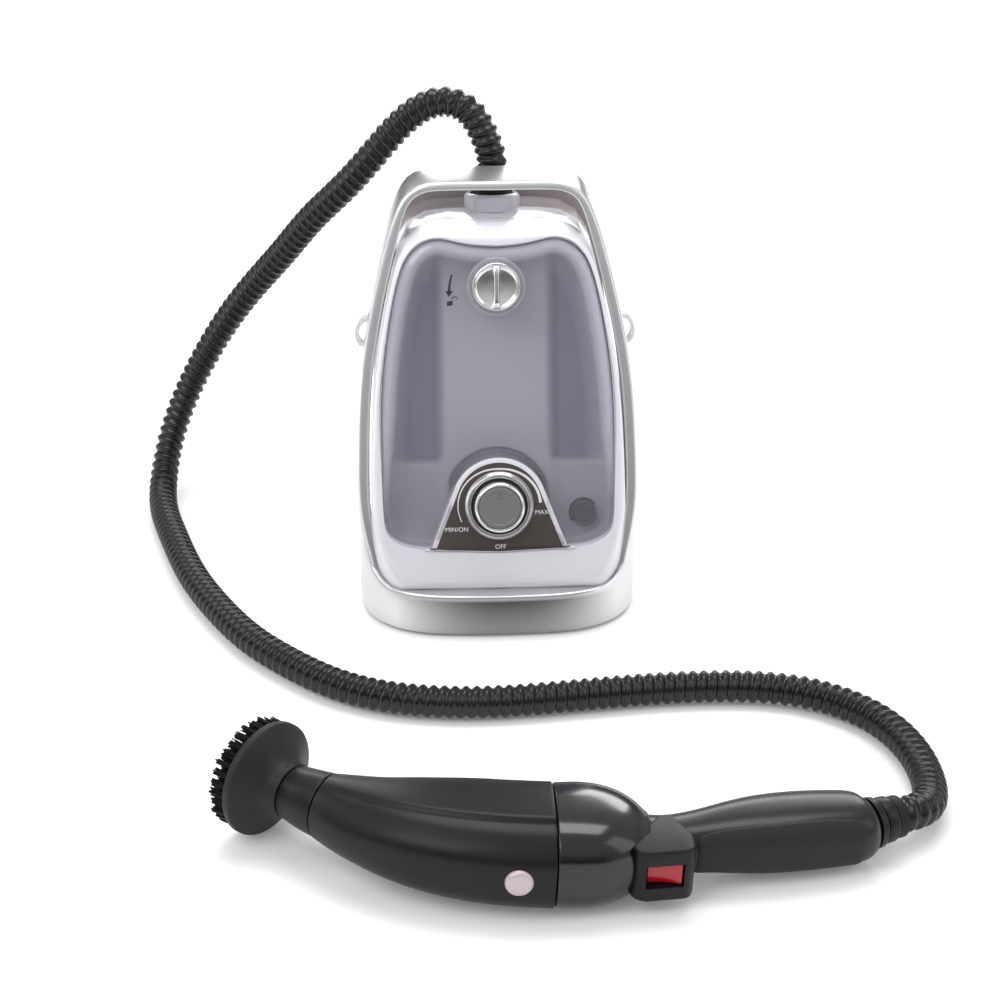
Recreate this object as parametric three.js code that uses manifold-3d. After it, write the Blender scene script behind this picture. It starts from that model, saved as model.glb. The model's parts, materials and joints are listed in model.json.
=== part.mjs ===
// Portable steam cleaner: a leaning wedge-shaped unit with a clear water tank in a silver frame,
// a corrugated steam hose, and a hand piece with a round brush.
// Millimetres, +Z up, the front of the unit towards -Y. The origin is at the bottom centre of
// the box round the unit and the hand piece.
import * as THREE from "three";
import { mergeVertices } from "three/addons/utils/BufferGeometryUtils.js";
import Module from "manifold-3d";

const wasm = await Module();
wasm.setup();

// ---------------------------------------------------------------- driving dimensions
const GAP = 0.4; // between pieces that only touch
const RUN = 0.5; // round a piece that turns or slides
const CURVE_STEPS = 28; // sides of a full circle on the visible round pieces
const SMALL_STEPS = 12; // sides of a full circle on small or hidden round pieces

const LEAN_DEG = 18; // the front face leans back this far from vertical
const FRONT_Y = 10; // the foot of the leaning face lies this far behind the skirt's front

// skirt and base
const SKIRT_HALF_WIDTH = 91;
const SKIRT_DEPTH = 196;
const SKIRT_HEIGHT = 30;
const SKIRT_WALL = 3;
const SKIRT_BOTTOM = 2;
const SKIRT_SEAT = 4; // the skirt's top runs this far in under the casing
const FOOT_HEIGHT = 3.6;
const FOOT_RADIUS = 9;
const FOOT_X = 62;
const FOOT_FRONT_Y = 34;
const FOOT_REAR_Y = 166;
const PLATE_BOTTOM = 4;
const PLATE_THICKNESS = 2.5;
const SCREW_HEAD_RADIUS = 3.2;
const SCREW_RADIUS = 1.7;
const SCREW_HEAD_HEIGHT = 1.6;
const SCREW_LENGTH = 14;
const SCREW_X = 40;

// handle frame
const LOOP_SET_BACK = 14; // the frame's front rim behind the casing's front face
const LOOP_DEPTH = 24;
const LOOP_RISE = 0.488; // rise of the frame's band for each millimetre of depth
const LOOP_TOP = 261; // along the slope
const BAR_THICKNESS = 5.5;
const LEG_THICKNESS = 7.5;
const LOOP_CLEARANCE = 1.5;

// casing
const CASING_WALL = 2.4;
const CASING_RISE = 0.33; // the casing's top runs back level
const CASING_TOP = LOOP_TOP - 31; // the hand gap's height below the handle's top
const SPLIT_DEPTH = 26; // the front shell reaches this far in
const CASING_STEP = 6; // the casing stands this far in from the skirt
const BACK_LEAN_DEG = 8;
const PANEL_TOP_Z = 262; // upstand of the rear cover behind the handle
const PANEL_FRONT_Y = 153.5;
const PANEL_THICKNESS = 4;

// tank and its bay
const TANK_DEPTH = 30;
const TANK_WALL = 2.2;
const TANK_PROUD = 1.2; // the tank stands out this far from the casing
const TANK_FLOOR_S = 24.3;
const TANK_TOP_S = CASING_TOP - 4;
const BAY_WALL = 2;
const OUTLET_X = 57;
const OUTLET_S = 45;
const OUTLET_RADIUS = 7;

// lock knob
const LOCK_S = TANK_TOP_S - 30.5;
const LOCK_RADIUS = 15.5;
const LOCK_HEIGHT = 9;
const LOCK_GRIP_WIDTH = 6;
const LOCK_SHAFT_RADIUS = 4;
const CAM_REACH = 9;

// steam dial
const DIAL_S = 55.2;
const DIAL_RING_RADIUS = 22.5;
const DIAL_KNOB_RADIUS = 16.6;
const DIAL_CAP_RADIUS = 13.6;
const DIAL_KNOB_HEIGHT = 12;
const DIAL_SHAFT_RADIUS = 3;
const DIAL_SWITCH_RADIUS = 12;
const LABEL_RADIUS = 27.8;
const LABEL_HALF_WIDTH = 46;
const LABEL_THICKNESS = 1;
const PANEL_RIM = 3;

// hose and its way out
const HOSE_RADIUS = 10.2;
const COLLAR_RADIUS = 18.5;
const COLLAR_HEIGHT = 9;
const EXIT_Y = 137;
const EXIT_Z = 247.5;
const EXIT_LEAN_DEG = 10;
const CONNECTOR_RADIUS = 13.7;
const CONNECTOR_NECK_RADIUS = 10.8;

// power inlet and strap lugs
const GLAND_RADIUS = 8;
const GLAND_X = -52;
const GLAND_Z = 46;
const LUG_Z = 180;
const LUG_HEIGHT = 21;
const LUG_REACH = 8;
const LUG_THICKNESS = 6;
const LUG_TILT_DEG = 9; // the legs lean in at the lugs
const LUG_INSET = 8.4; // the lugs' middle in from the skirt's side
const LUG_Y = 88;
const SLOT_HALF = 25; // half the width of the vents

// inside
const BOILER_RADIUS = 33;
const BOILER_Y = 126;
const BOILER_LOW = 14;
const BOILER_HIGH = 96;
const BOILER_WALL = 2;
const PORT_RADIUS = 4;

// hand piece
const HAND_X = 15.8;
const HAND_Y = -270.5;
const HAND_Z = 27.4; // the body rests on its side
const HAND_WALL = 2.6;
const BRUSH_RADIUS = 31.5;
const BRISTLE_LENGTH = 10;
const BUTTON_RADIUS = 7.6;
const BUTTON_TRAVEL = 2.5;
const ROCKER_LENGTH = 17.5;
const ROCKER_WIDTH = 13;
const ROCKER_SWING = 1.5; // room at each end of the rocker for its tilt
const GRIP_SKIN = 1.1;
const HAND_PITCH_DEG = 2.5;
const BUTTON_X = -19.8;
const BUTTON_FACE = 38; // from the hand piece's axis
const SPRING_FOOT = 8;
const ROCKER_X = 57;
const ROCKER_Y = -19.5;
const HOOD_HALF = 15.5;
const TAIL_HEADING_DEG = 24;
const TAIL_END = 22;
const SPIGOT = 9; // the trigger body's spigot inside the nozzle

// ---------------------------------------------------------------- materials
function finish(color, roughness, metalness = 0, opacity = 1) {
  return new THREE.MeshStandardMaterial({
    color,
    roughness,
    metalness,
    opacity,
    transparent: opacity < 1,
  });
}

const silver = finish(0xc9cacb, 0.32, 0.8);
const pearl = finish(0xe6e3ea, 0.25);
const warmGrey = finish(0x938a8c, 0.4);
const lavender = finish(0xb9b5c3, 0.35);
const smoked = finish(0xc4c0d2, 0.08, 0, 0.35);
const chromed = finish(0xdfe0e2, 0.12, 1);
const slate = finish(0x6b7270, 0.5);
const brown = finish(0x453c3b, 0.4);
const blackGloss = finish(0x0e0e10, 0.15);
const charcoal = finish(0x1c1c1f, 0.55);
const darkGrip = finish(0x37373a, 0.75);
const red = finish(0xb0101c, 0.25);
const pinkPearl = finish(0xd8c8cb, 0.3);
const softBlack = finish(0x161616, 0.85);
const brassTone = finish(0xb08d4a, 0.35, 1);
const steelTone = finish(0xb4b6b8, 0.35, 1);
const aluTone = finish(0xb9bbbd, 0.45, 0.9);
const boardGreen = finish(0x1d5a37, 0.6);
const clearHose = finish(0xd9d4c4, 0.4);

// ---------------------------------------------------------------- solids
const leanAngle = THREE.MathUtils.degToRad(LEAN_DEG);

// Local x, depth behind the leaning face, and height along its slope, to the unit's own frame.
const leaning = new THREE.Matrix4()
  .makeTranslation(0, FRONT_Y, SKIRT_HEIGHT)
  .multiply(new THREE.Matrix4().makeRotationX(-leanAngle));

function solid(geometry, matrix) {
  const bare = (geometry.index ? geometry.toNonIndexed() : geometry.clone())
    .deleteAttribute("normal")
    .deleteAttribute("uv");
  if (matrix) bare.applyMatrix4(matrix);
  const merged = mergeVertices(bare, 1e-3);
  return new wasm.Manifold(
    new wasm.Mesh({
      numProp: 3,
      vertProperties: merged.attributes.position.array,
      triVerts: new Uint32Array(merged.index.array),
    }),
  );
}

function geometryOf(body) {
  const mesh = body.getMesh();
  const geometry = new THREE.BufferGeometry();
  geometry.setAttribute("position", new THREE.BufferAttribute(mesh.vertProperties, 3));
  geometry.setIndex(new THREE.BufferAttribute(mesh.triVerts, 1));
  geometry.computeVertexNormals();
  return geometry;
}

const join = (...bodies) => bodies.reduce((all, next) => all.add(next));
const cut = (body, ...tools) => tools.reduce((left, tool) => left.subtract(tool), body);
const common = (...bodies) => bodies.reduce((all, next) => all.intersect(next));

// An outline in x and slope height, given depth from front to back along the leaning face.
// rise lifts the outline for each millimetre of depth behind rim.
function panel(outline, front, back, rise = 0, rim = 0) {
  const shape = Array.isArray(outline) ? new THREE.Shape(outline) : outline;
  const geometry = new THREE.ExtrudeGeometry(shape, { depth: back - front, bevelEnabled: false });
  geometry.rotateX(Math.PI / 2).translate(0, back, 0);
  if (rise) {
    const shear = new THREE.Matrix4().set(1, 0, 0, 0, 0, 1, 0, 0, 0, rise, 1, -rise * rim, 0, 0, 0, 1);
    geometry.applyMatrix4(shear);
  }
  return geometry;
}

const leaningPanel = (...args) => solid(panel(...args), leaning);

// An outline in plan, from one height to another. slant moves it in y for each millimetre up.
function upright(outline, low, high, slant = 0) {
  const geometry = new THREE.ExtrudeGeometry(new THREE.Shape(outline), {
    depth: high - low,
    bevelEnabled: false,
  });
  geometry.translate(0, 0, low);
  if (slant) {
    geometry.applyMatrix4(
      new THREE.Matrix4().set(1, 0, 0, 0, 0, 1, slant, 0, 0, 0, 1, 0, 0, 0, 0, 1),
    );
  }
  return geometry;
}

// A closed profile of [radius, height] turned round +Z.
function turned(profile, steps = CURVE_STEPS) {
  const points = profile.map(([radius, height]) => new THREE.Vector2(radius, height));
  return new THREE.LatheGeometry(points, steps).rotateX(Math.PI / 2);
}

const rod = (radius, low, high, steps = SMALL_STEPS) =>
  turned([[0, low], [radius, low], [radius, high], [0, high]], steps);

const ringProfile = (inner, outer, low, high) => [
  [inner, low],
  [outer, low],
  [outer, high],
  [inner, high],
  [inner, low],
];

const block = (x0, x1, y0, y1, z0, z1) =>
  new THREE.BoxGeometry(x1 - x0, y1 - y0, z1 - z0).translate(
    (x0 + x1) / 2,
    (y0 + y1) / 2,
    (z0 + z1) / 2,
  );

// A tube or rod of round section along a smooth line through the points.
function pipe(points, radius, steps, sides = 10, bore = 0) {
  const line = new THREE.CatmullRomCurve3(points.map((p) => new THREE.Vector3(...p)));
  const section = new THREE.Shape();
  for (let i = 0; i < sides; i++) {
    const angle = (2 * Math.PI * i) / sides;
    const corner = [radius * Math.cos(angle), radius * Math.sin(angle)];
    if (i) section.lineTo(...corner);
    else section.moveTo(...corner);
  }
  if (bore) {
    const hole = new THREE.Path();
    for (let i = 0; i < sides; i++) {
      const angle = (-2 * Math.PI * i) / sides;
      const corner = [bore * Math.cos(angle), bore * Math.sin(angle)];
      if (i) hole.lineTo(...corner);
      else hole.moveTo(...corner);
    }
    section.holes.push(hole);
  }
  return new THREE.ExtrudeGeometry(section, { steps, extrudePath: line, curveSegments: 1 });
}

// Rings of points joined along their length, with flat ends. Each station is a section across a
// line in the xy plane: half its height across the line, half its width along z, and how square
// it is (2 is an ellipse).
function loft(stations, grow = 0, sides = 18) {
  const positions = [];
  for (const { x, y, heading, height, width, square = 2.3 } of stations) {
    for (let i = 0; i < sides; i++) {
      const angle = (2 * Math.PI * i) / sides;
      const bulge = (value) => Math.sign(value) * Math.abs(value) ** (2 / square);
      const across = (height + grow) * bulge(Math.cos(angle));
      positions.push(
        x - across * Math.sin(heading),
        y + across * Math.cos(heading),
        (width + grow) * bulge(Math.sin(angle)),
      );
    }
  }
  const rings = stations.length;
  const faces = [];
  for (let r = 0; r < rings - 1; r++) {
    for (let i = 0; i < sides; i++) {
      const next = (i + 1) % sides;
      const [a, b, c, d] = [r * sides + i, r * sides + next, (r + 1) * sides + i, (r + 1) * sides + next];
      faces.push(a, b, d, a, d, c);
    }
  }
  for (const [r, flip] of [[0, true], [rings - 1, false]]) {
    const { x, y } = stations[r];
    const centre = positions.length / 3;
    positions.push(x, y, 0);
    for (let i = 0; i < sides; i++) {
      const [a, b] = [r * sides + i, r * sides + ((i + 1) % sides)];
      faces.push(centre, flip ? b : a, flip ? a : b);
    }
  }
  const geometry = new THREE.BufferGeometry();
  geometry.setAttribute("position", new THREE.BufferAttribute(new Float32Array(positions), 3));
  geometry.setIndex(faces);
  return geometry;
}

// ---------------------------------------------------------------- outlines
// A smooth half outline of [x, height] points on the right, mirrored to the left, as one loop.
function mirrored(half, steps = 36, closed = true) {
  const line = new THREE.CatmullRomCurve3(
    half.map(([x, y]) => new THREE.Vector3(x, y, 0)),
    false,
    "centripetal",
  );
  const right = line.getSpacedPoints(steps).map((p) => new THREE.Vector2(p.x, p.y));
  const left = right
    .map((p) => new THREE.Vector2(-p.x, p.y))
    .filter((p) => Math.abs(p.x) > 1e-3 || !closed)
    .reverse();
  return [...right, ...left];
}

// The outline moved in (positive distance) along its own normals.
function inset(outline, distance) {
  const amount = typeof distance === "function" ? distance : () => distance;
  return outline.map((p, i) => {
    const before = outline[(i + outline.length - 1) % outline.length];
    const after = outline[(i + 1) % outline.length];
    const into = new THREE.Vector2(before.y - p.y, p.x - before.x)
      .normalize()
      .add(new THREE.Vector2(p.y - after.y, after.x - p.x).normalize());
    const spread = into.length() / 2;
    return p.clone().addScaledVector(into.normalize(), amount(p) / Math.max(spread, 0.5));
  });
}

const loopOutline = mirrored(
  [
    [SKIRT_HALF_WIDTH, -40],
    [SKIRT_HALF_WIDTH + 0.4, 30],
    [SKIRT_HALF_WIDTH - 0.2, 78],
    [SKIRT_HALF_WIDTH - 4, 141],
    [SKIRT_HALF_WIDTH - 15.2, LOOP_TOP - 61],
    [SKIRT_HALF_WIDTH - 28, LOOP_TOP - 18],
    [SKIRT_HALF_WIDTH - 35, LOOP_TOP - 7],
    [SKIRT_HALF_WIDTH - 45, LOOP_TOP - 1.4],
    [SKIRT_HALF_WIDTH - 57, LOOP_TOP],
  ],
  22,
  false,
);
const loopWall = (p) =>
  THREE.MathUtils.lerp(
    LEG_THICKNESS,
    BAR_THICKNESS,
    THREE.MathUtils.smoothstep(p.y, LOOP_TOP - 50, LOOP_TOP),
  );
const loopInner = inset(loopOutline, loopWall);

const casingHalf = SKIRT_HALF_WIDTH - LEG_THICKNESS - LOOP_CLEARANCE;
const casingOutline = mirrored(
  [
    [casingHalf + 0.2, -40],
    [casingHalf + 0.4, 30],
    [casingHalf - 0.2, 78],
    [casingHalf - 4.6, 141],
    [casingHalf - 15.6, CASING_TOP - 32],
    [casingHalf - 23, CASING_TOP - 13],
    [casingHalf - 34, CASING_TOP - 3.5],
    [casingHalf - 51, CASING_TOP - 0.6],
    [0, CASING_TOP],
  ],
  22,
);

const tankHalf = casingHalf - 7.6;
const tankOutline = mirrored(
  [
    [0, TANK_FLOOR_S],
    [tankHalf - 30, TANK_FLOOR_S + 2.4],
    [tankHalf - 12, TANK_FLOOR_S + 5.8],
    [tankHalf - 3.6, TANK_FLOOR_S + 12],
    [tankHalf - 0.6, TANK_FLOOR_S + 26],
    [tankHalf, TANK_FLOOR_S + 52],
    [tankHalf - 0.4, TANK_FLOOR_S + 98],
    [tankHalf - 4.2, TANK_TOP_S - 66],
    [tankHalf - 12.2, TANK_TOP_S - 26],
    [tankHalf - 18, TANK_TOP_S - 12],
    [tankHalf - 25.4, TANK_TOP_S - 4.4],
    [tankHalf - 32, TANK_TOP_S - 1.4],
    [tankHalf - 38.4, TANK_TOP_S - 0.6],
    [tankHalf - 52, TANK_TOP_S - 3.6],
    [0, TANK_TOP_S - 6],
  ],
  28,
);

// The arch of the dial's label: a round top and straight sides down to the tank's lower edge.
function arch(radius, halfWidth, foot) {
  const side = new THREE.Vector2(halfWidth, foot - DIAL_S);
  const reach = side.length();
  const start = side.angle() + Math.acos(radius / reach);
  const points = [new THREE.Vector2(halfWidth, foot)];
  const steps = 14;
  for (let i = 0; i <= steps; i++) {
    const angle = start - Math.PI * 2 + ((Math.PI - 2 * (start - Math.PI * 2)) * i) / steps;
    points.push(new THREE.Vector2(radius * Math.cos(angle), DIAL_S + radius * Math.sin(angle)));
  }
  points.push(new THREE.Vector2(-halfWidth, foot));
  return points;
}

// Plan of the skirt: a shallow arc in front, rounded corners, straight sides and a flatter back.
function planOutline(grow) {
  const half = SKIRT_HALF_WIDTH;
  const points = [
    [0, 0],
    [half - 55, 1.6],
    [half - 37, 5.2],
    [half - 23, 12],
    [half - 12, 22],
    [half - 4, 36],
    [half - 0.6, 54],
    [half, 80],
    [half - 1, SKIRT_DEPTH - 50],
    [half - 4, SKIRT_DEPTH - 26],
    [half - 12, SKIRT_DEPTH - 11],
    [half - 26, SKIRT_DEPTH - 3],
    [half - 50, SKIRT_DEPTH],
    [0, SKIRT_DEPTH],
  ];
  return inset(mirrored(points, 20), -grow);
}

// ---------------------------------------------------------------- scene
const root = new THREE.Group();

function add(parent, name, geometry, material) {
  const mesh = new THREE.Mesh(geometry, material);
  mesh.name = name;
  parent.add(mesh);
  return mesh;
}

const addSolid = (parent, name, body, material) => add(parent, name, geometryOf(body), material);

const unit = new THREE.Group();
root.add(unit);
const face = new THREE.Group(); // what stands square on the leaning face
face.applyMatrix4(leaning);
unit.add(face);

// Turned geometry is made round +Z. On the face, +Z turns to point out of it.
function outOfFace(geometry, s, x = 0, depth = 0) {
  return geometry.rotateX(Math.PI / 2).translate(x, depth, s);
}

const above = (z) => solid(block(-300, 300, -300, 500, z, 600));

// Casing volume: the front outline, a rounded back in plan, and an upright limit above the skirt.
const backSlant = -Math.tan(THREE.MathUtils.degToRad(BACK_LEAN_DEG));
function casingVolume(shrink, front, back, floor) {
  return common(
    leaningPanel(inset(casingOutline, shrink), front, back, CASING_RISE, 0),
    solid(upright(planOutline(-shrink - CASING_STEP), 0, 420, backSlant)),
    above(floor),
  );
}

// ---------------------------------------------------------------- unit: frame, base and casing
function handleFrame() {
  const ring = cut(
    leaningPanel(loopOutline, LOOP_SET_BACK, LOOP_SET_BACK + LOOP_DEPTH, LOOP_RISE, LOOP_SET_BACK),
    leaningPanel(
      [...loopInner.slice(1, -1)],
      LOOP_SET_BACK - 5,
      LOOP_SET_BACK + LOOP_DEPTH + 5,
      LOOP_RISE,
      LOOP_SET_BACK,
    ),
  );
  const legs = common(
    ring,
    solid(upright(planOutline(0.6), SKIRT_BOTTOM, 400)),
    above(SKIRT_HEIGHT - 6),
  );
  const seat = common(
    leaningPanel(inset(casingOutline, SKIRT_SEAT), SKIRT_SEAT, 300, CASING_RISE, 0),
    solid(upright(planOutline(-SKIRT_SEAT - 10), 0, 60)),
    solid(block(-200, 200, -50, 300, SKIRT_HEIGHT - 3, SKIRT_HEIGHT + 3)),
  );
  const rim = upright(planOutline(0), SKIRT_BOTTOM, SKIRT_HEIGHT);
  const hollow = upright(planOutline(-SKIRT_WALL), SKIRT_BOTTOM - 5, SKIRT_HEIGHT - SKIRT_WALL);
  const mouth = planOutline(-SKIRT_SEAT - 9);
  const skirt = cut(solid(rim), solid(hollow), solid(upright(mouth, 0, SKIRT_HEIGHT + 5)), seat);
  addSolid(unit, "handle_frame", join(skirt, legs), silver);
}

function base() {
  const plate = cut(
    solid(
      upright(
        planOutline(-SKIRT_WALL - GAP),
        PLATE_BOTTOM,
        PLATE_BOTTOM + PLATE_THICKNESS,
      ),
    ),
    ...footPlaces().map(([x, y]) => solid(rod(3, 0, 20, 12).translate(x, y, 0))),
    ...screwPlaces().map(([x, y]) =>
      solid(rod(SCREW_RADIUS + GAP, 0, 20, 12).translate(x, y, 0)),
    ),
  );
  addSolid(unit, "base_plate", plate, charcoal);
  footPlaces().forEach(([x, y], i) => {
    const foot = add(
      unit,
      `rubber_foot_${i + 1}`,
      turned(
        [
          [0, 0],
          [FOOT_RADIUS - 1, 0],
          [FOOT_RADIUS, 1],
          [FOOT_RADIUS, FOOT_HEIGHT],
          [3 - GAP, FOOT_HEIGHT],
          [3 - GAP, PLATE_BOTTOM + PLATE_THICKNESS + 1],
          [0, PLATE_BOTTOM + PLATE_THICKNESS + 1],
        ],
        SMALL_STEPS,
      ),
      softBlack,
    );
    foot.position.set(x, y, 0);
  });
  screwPlaces().forEach(([x, y], i) => {
    const head = PLATE_BOTTOM - GAP;
    const screw = add(
      unit,
      `base_screw_${i + 1}`,
      turned(
        [
          [0, head - SCREW_HEAD_HEIGHT],
          [SCREW_HEAD_RADIUS, head - SCREW_HEAD_HEIGHT],
          [SCREW_HEAD_RADIUS, head],
          [SCREW_RADIUS, head],
          [SCREW_RADIUS, head + SCREW_LENGTH],
          [0, head + SCREW_LENGTH],
        ],
        12,
      ),
      steelTone,
    );
    screw.position.set(x, y, 0);
  });
}

function footPlaces() {
  return [
    [-FOOT_X, FOOT_FRONT_Y],
    [FOOT_X, FOOT_FRONT_Y],
    [-FOOT_X, FOOT_REAR_Y],
    [FOOT_X, FOOT_REAR_Y],
  ];
}

function screwPlaces() {
  return [
    [-SCREW_X, FOOT_FRONT_Y - 8],
    [SCREW_X, FOOT_FRONT_Y - 8],
    [-SCREW_X, FOOT_REAR_Y + 8],
    [SCREW_X, FOOT_REAR_Y + 8],
  ];
}

function casing() {
  const floor = SKIRT_HEIGHT + GAP;
  const outside = casingVolume(0, 0, SPLIT_DEPTH, floor);
  const inside = casingVolume(CASING_WALL, CASING_WALL, SPLIT_DEPTH + 10, floor - 5);
  const window = leaningPanel(inset(tankOutline, -GAP), -20, CASING_WALL + 3);
  const exit = exitTool(CONNECTOR_RADIUS + GAP, -30, 30);
  addSolid(unit, "front_shell", cut(outside, inside, window, exit), pearl);

  const back = SPLIT_DEPTH + GAP;
  const shell = cut(
    casingVolume(0, back, 320, floor),
    casingVolume(CASING_WALL, back - 10, 320, floor - 5),
  );
  const upstand = common(
    leaningPanel(
      inset(loopOutline, (p) => loopWall(p) + LOOP_CLEARANCE),
      20,
      300,
      LOOP_RISE,
      LOOP_SET_BACK,
    ),
    solid(
      block(
        -200,
        200,
        PANEL_FRONT_Y,
        PANEL_FRONT_Y + PANEL_THICKNESS,
        150,
        PANEL_TOP_Z,
      ),
    ),
  );
  const slots = [];
  for (let i = 0; i < 6; i++) {
    slots.push(solid(block(-SLOT_HALF, SLOT_HALF, 150, 230, 70 + i * 11, 74 + i * 11)));
  }
  const glandHole = solid(
    rod(GLAND_RADIUS + 1.2, -60, 60).rotateX(-Math.PI / 2).translate(GLAND_X, SKIRT_DEPTH, GLAND_Z),
  );
  addSolid(
    unit,
    "rear_cover",
    cut(join(shell, upstand), ...slots, exitTool(CONNECTOR_RADIUS + GAP, -30, 30), glandHole),
    warmGrey,
  );
}

// A round cutter on the hose's way out of the casing.
function exitFrame() {
  return new THREE.Matrix4()
    .makeTranslation(0, EXIT_Y, EXIT_Z)
    .multiply(new THREE.Matrix4().makeRotationX(-THREE.MathUtils.degToRad(EXIT_LEAN_DEG)));
}

const exitTool = (radius, low, high) => solid(rod(radius, low, high, 32), exitFrame());


// ---------------------------------------------------------------- unit: tank, bay, lock and dial
function tankAndBay() {
  const notch = arch(LABEL_RADIUS + PANEL_RIM + GAP, LABEL_HALF_WIDTH + PANEL_RIM + GAP, 10);
  const innerNotch = arch(
    LABEL_RADIUS + PANEL_RIM + GAP + TANK_WALL,
    LABEL_HALF_WIDTH + PANEL_RIM + GAP + TANK_WALL,
    10,
  );
  const hollow = cut(
    leaningPanel(inset(tankOutline, TANK_WALL), TANK_WALL - TANK_PROUD, TANK_DEPTH - TANK_WALL),
    leaningPanel(innerNotch, -5, TANK_DEPTH + 5),
    solid(outOfFace(rod(LOCK_SHAFT_RADIUS + RUN + TANK_WALL, -60, 20), LOCK_S), leaning),
  );
  const tank = cut(
    leaningPanel(tankOutline, -TANK_PROUD, TANK_DEPTH),
    leaningPanel(notch, -5, TANK_DEPTH + 5),
    hollow,
    solid(outOfFace(rod(LOCK_SHAFT_RADIUS + RUN, -60, 20), LOCK_S), leaning),
    solid(outOfFace(rod(OUTLET_RADIUS - 0.6, -TANK_DEPTH - 5, -TANK_DEPTH + 5), OUTLET_S, OUTLET_X), leaning),
  );
  addSolid(unit, "water_tank", tank, smoked);

  const bayBack = TANK_DEPTH + GAP + BAY_WALL;
  const bay = cut(
    leaningPanel(inset(tankOutline, -GAP - BAY_WALL), CASING_WALL + 2 * GAP, bayBack),
    leaningPanel(inset(tankOutline, -GAP), -20, TANK_DEPTH + GAP),
    solid(outOfFace(rod(CAM_REACH + RUN, -60, 20), LOCK_S), leaning),
    solid(outOfFace(rod(OUTLET_RADIUS + 1, -60, 20), OUTLET_S, OUTLET_X), leaning),
    solid(outOfFace(rod(DIAL_SWITCH_RADIUS + RUN, -60, 20), DIAL_S), leaning),
  );
  const insideCasing = casingVolume(CASING_WALL + GAP, CASING_WALL + GAP, 80, 0);
  addSolid(unit, "tank_bay", common(bay, insideCasing), lavender);

  add(
    face,
    "tank_valve",
    outOfFace(
      turned(
        [
          [0, -TANK_DEPTH - 12],
          [OUTLET_RADIUS - 2.5, -TANK_DEPTH - 12],
          [OUTLET_RADIUS - 1, -TANK_DEPTH - 9],
          [OUTLET_RADIUS - 1, -TANK_DEPTH + TANK_WALL + GAP],
          [OUTLET_RADIUS + 1.5, -TANK_DEPTH + TANK_WALL + GAP],
          [OUTLET_RADIUS + 1.5, -TANK_DEPTH + TANK_WALL + 4],
          [0, -TANK_DEPTH + TANK_WALL + 4],
        ],
        SMALL_STEPS,
      ),
      OUTLET_S,
      OUTLET_X,
    ),
    charcoal,
  );
  const seatFront = -bayBack - GAP;
  add(
    face,
    "outlet_seal",
    outOfFace(
      turned(ringProfile(OUTLET_RADIUS - 1 + RUN, OUTLET_RADIUS + 3, seatFront - 3, seatFront), SMALL_STEPS),
      OUTLET_S,
      OUTLET_X,
    ),
    softBlack,
  );
  add(
    face,
    "outlet_seat",
    outOfFace(
      turned(
        ringProfile(OUTLET_RADIUS - 1 + RUN, OUTLET_RADIUS + 3, seatFront - 14, seatFront - 3 - GAP),
        SMALL_STEPS,
      ),
      OUTLET_S,
      OUTLET_X,
    ),
    charcoal,
  );
}

function lock() {
  const front = TANK_PROUD + GAP;
  const disc = turned([
    [0, front],
    [LOCK_RADIUS, front],
    [LOCK_RADIUS, front + 3],
    [LOCK_RADIUS - 1, front + 4],
    [LOCK_RADIUS - 2, front + 3.6],
    [0, front + 2],
  ]);
  const bar = common(
    solid(block(-LOCK_GRIP_WIDTH / 2, LOCK_GRIP_WIDTH / 2, -20, 20, front + 1, front + LOCK_HEIGHT)),
    solid(
      turned([
        [0, front],
        [LOCK_RADIUS + 0.4, front],
        [LOCK_RADIUS + 0.4, front + 4],
        [LOCK_RADIUS - 3, front + LOCK_HEIGHT - 0.6],
        [0, front + LOCK_HEIGHT],
      ]),
    ),
  );
  const shaftEnd = -TANK_DEPTH - BAY_WALL - 2 * GAP - 8;
  const stem = solid(rod(LOCK_SHAFT_RADIUS, -TANK_DEPTH - 1, front + 1));
  add(face, "lock_knob", outOfFace(geometryOf(join(solid(disc), bar, stem)), LOCK_S), chromed);
  const cam = join(
    solid(rod(LOCK_SHAFT_RADIUS, shaftEnd, -TANK_DEPTH - 1 - GAP)),
    solid(block(-3.5, 3.5, -CAM_REACH + 1, CAM_REACH - 1, shaftEnd, shaftEnd + 3)),
  );
  add(face, "lock_cam", outOfFace(geometryOf(cam), LOCK_S), steelTone);
}

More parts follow.
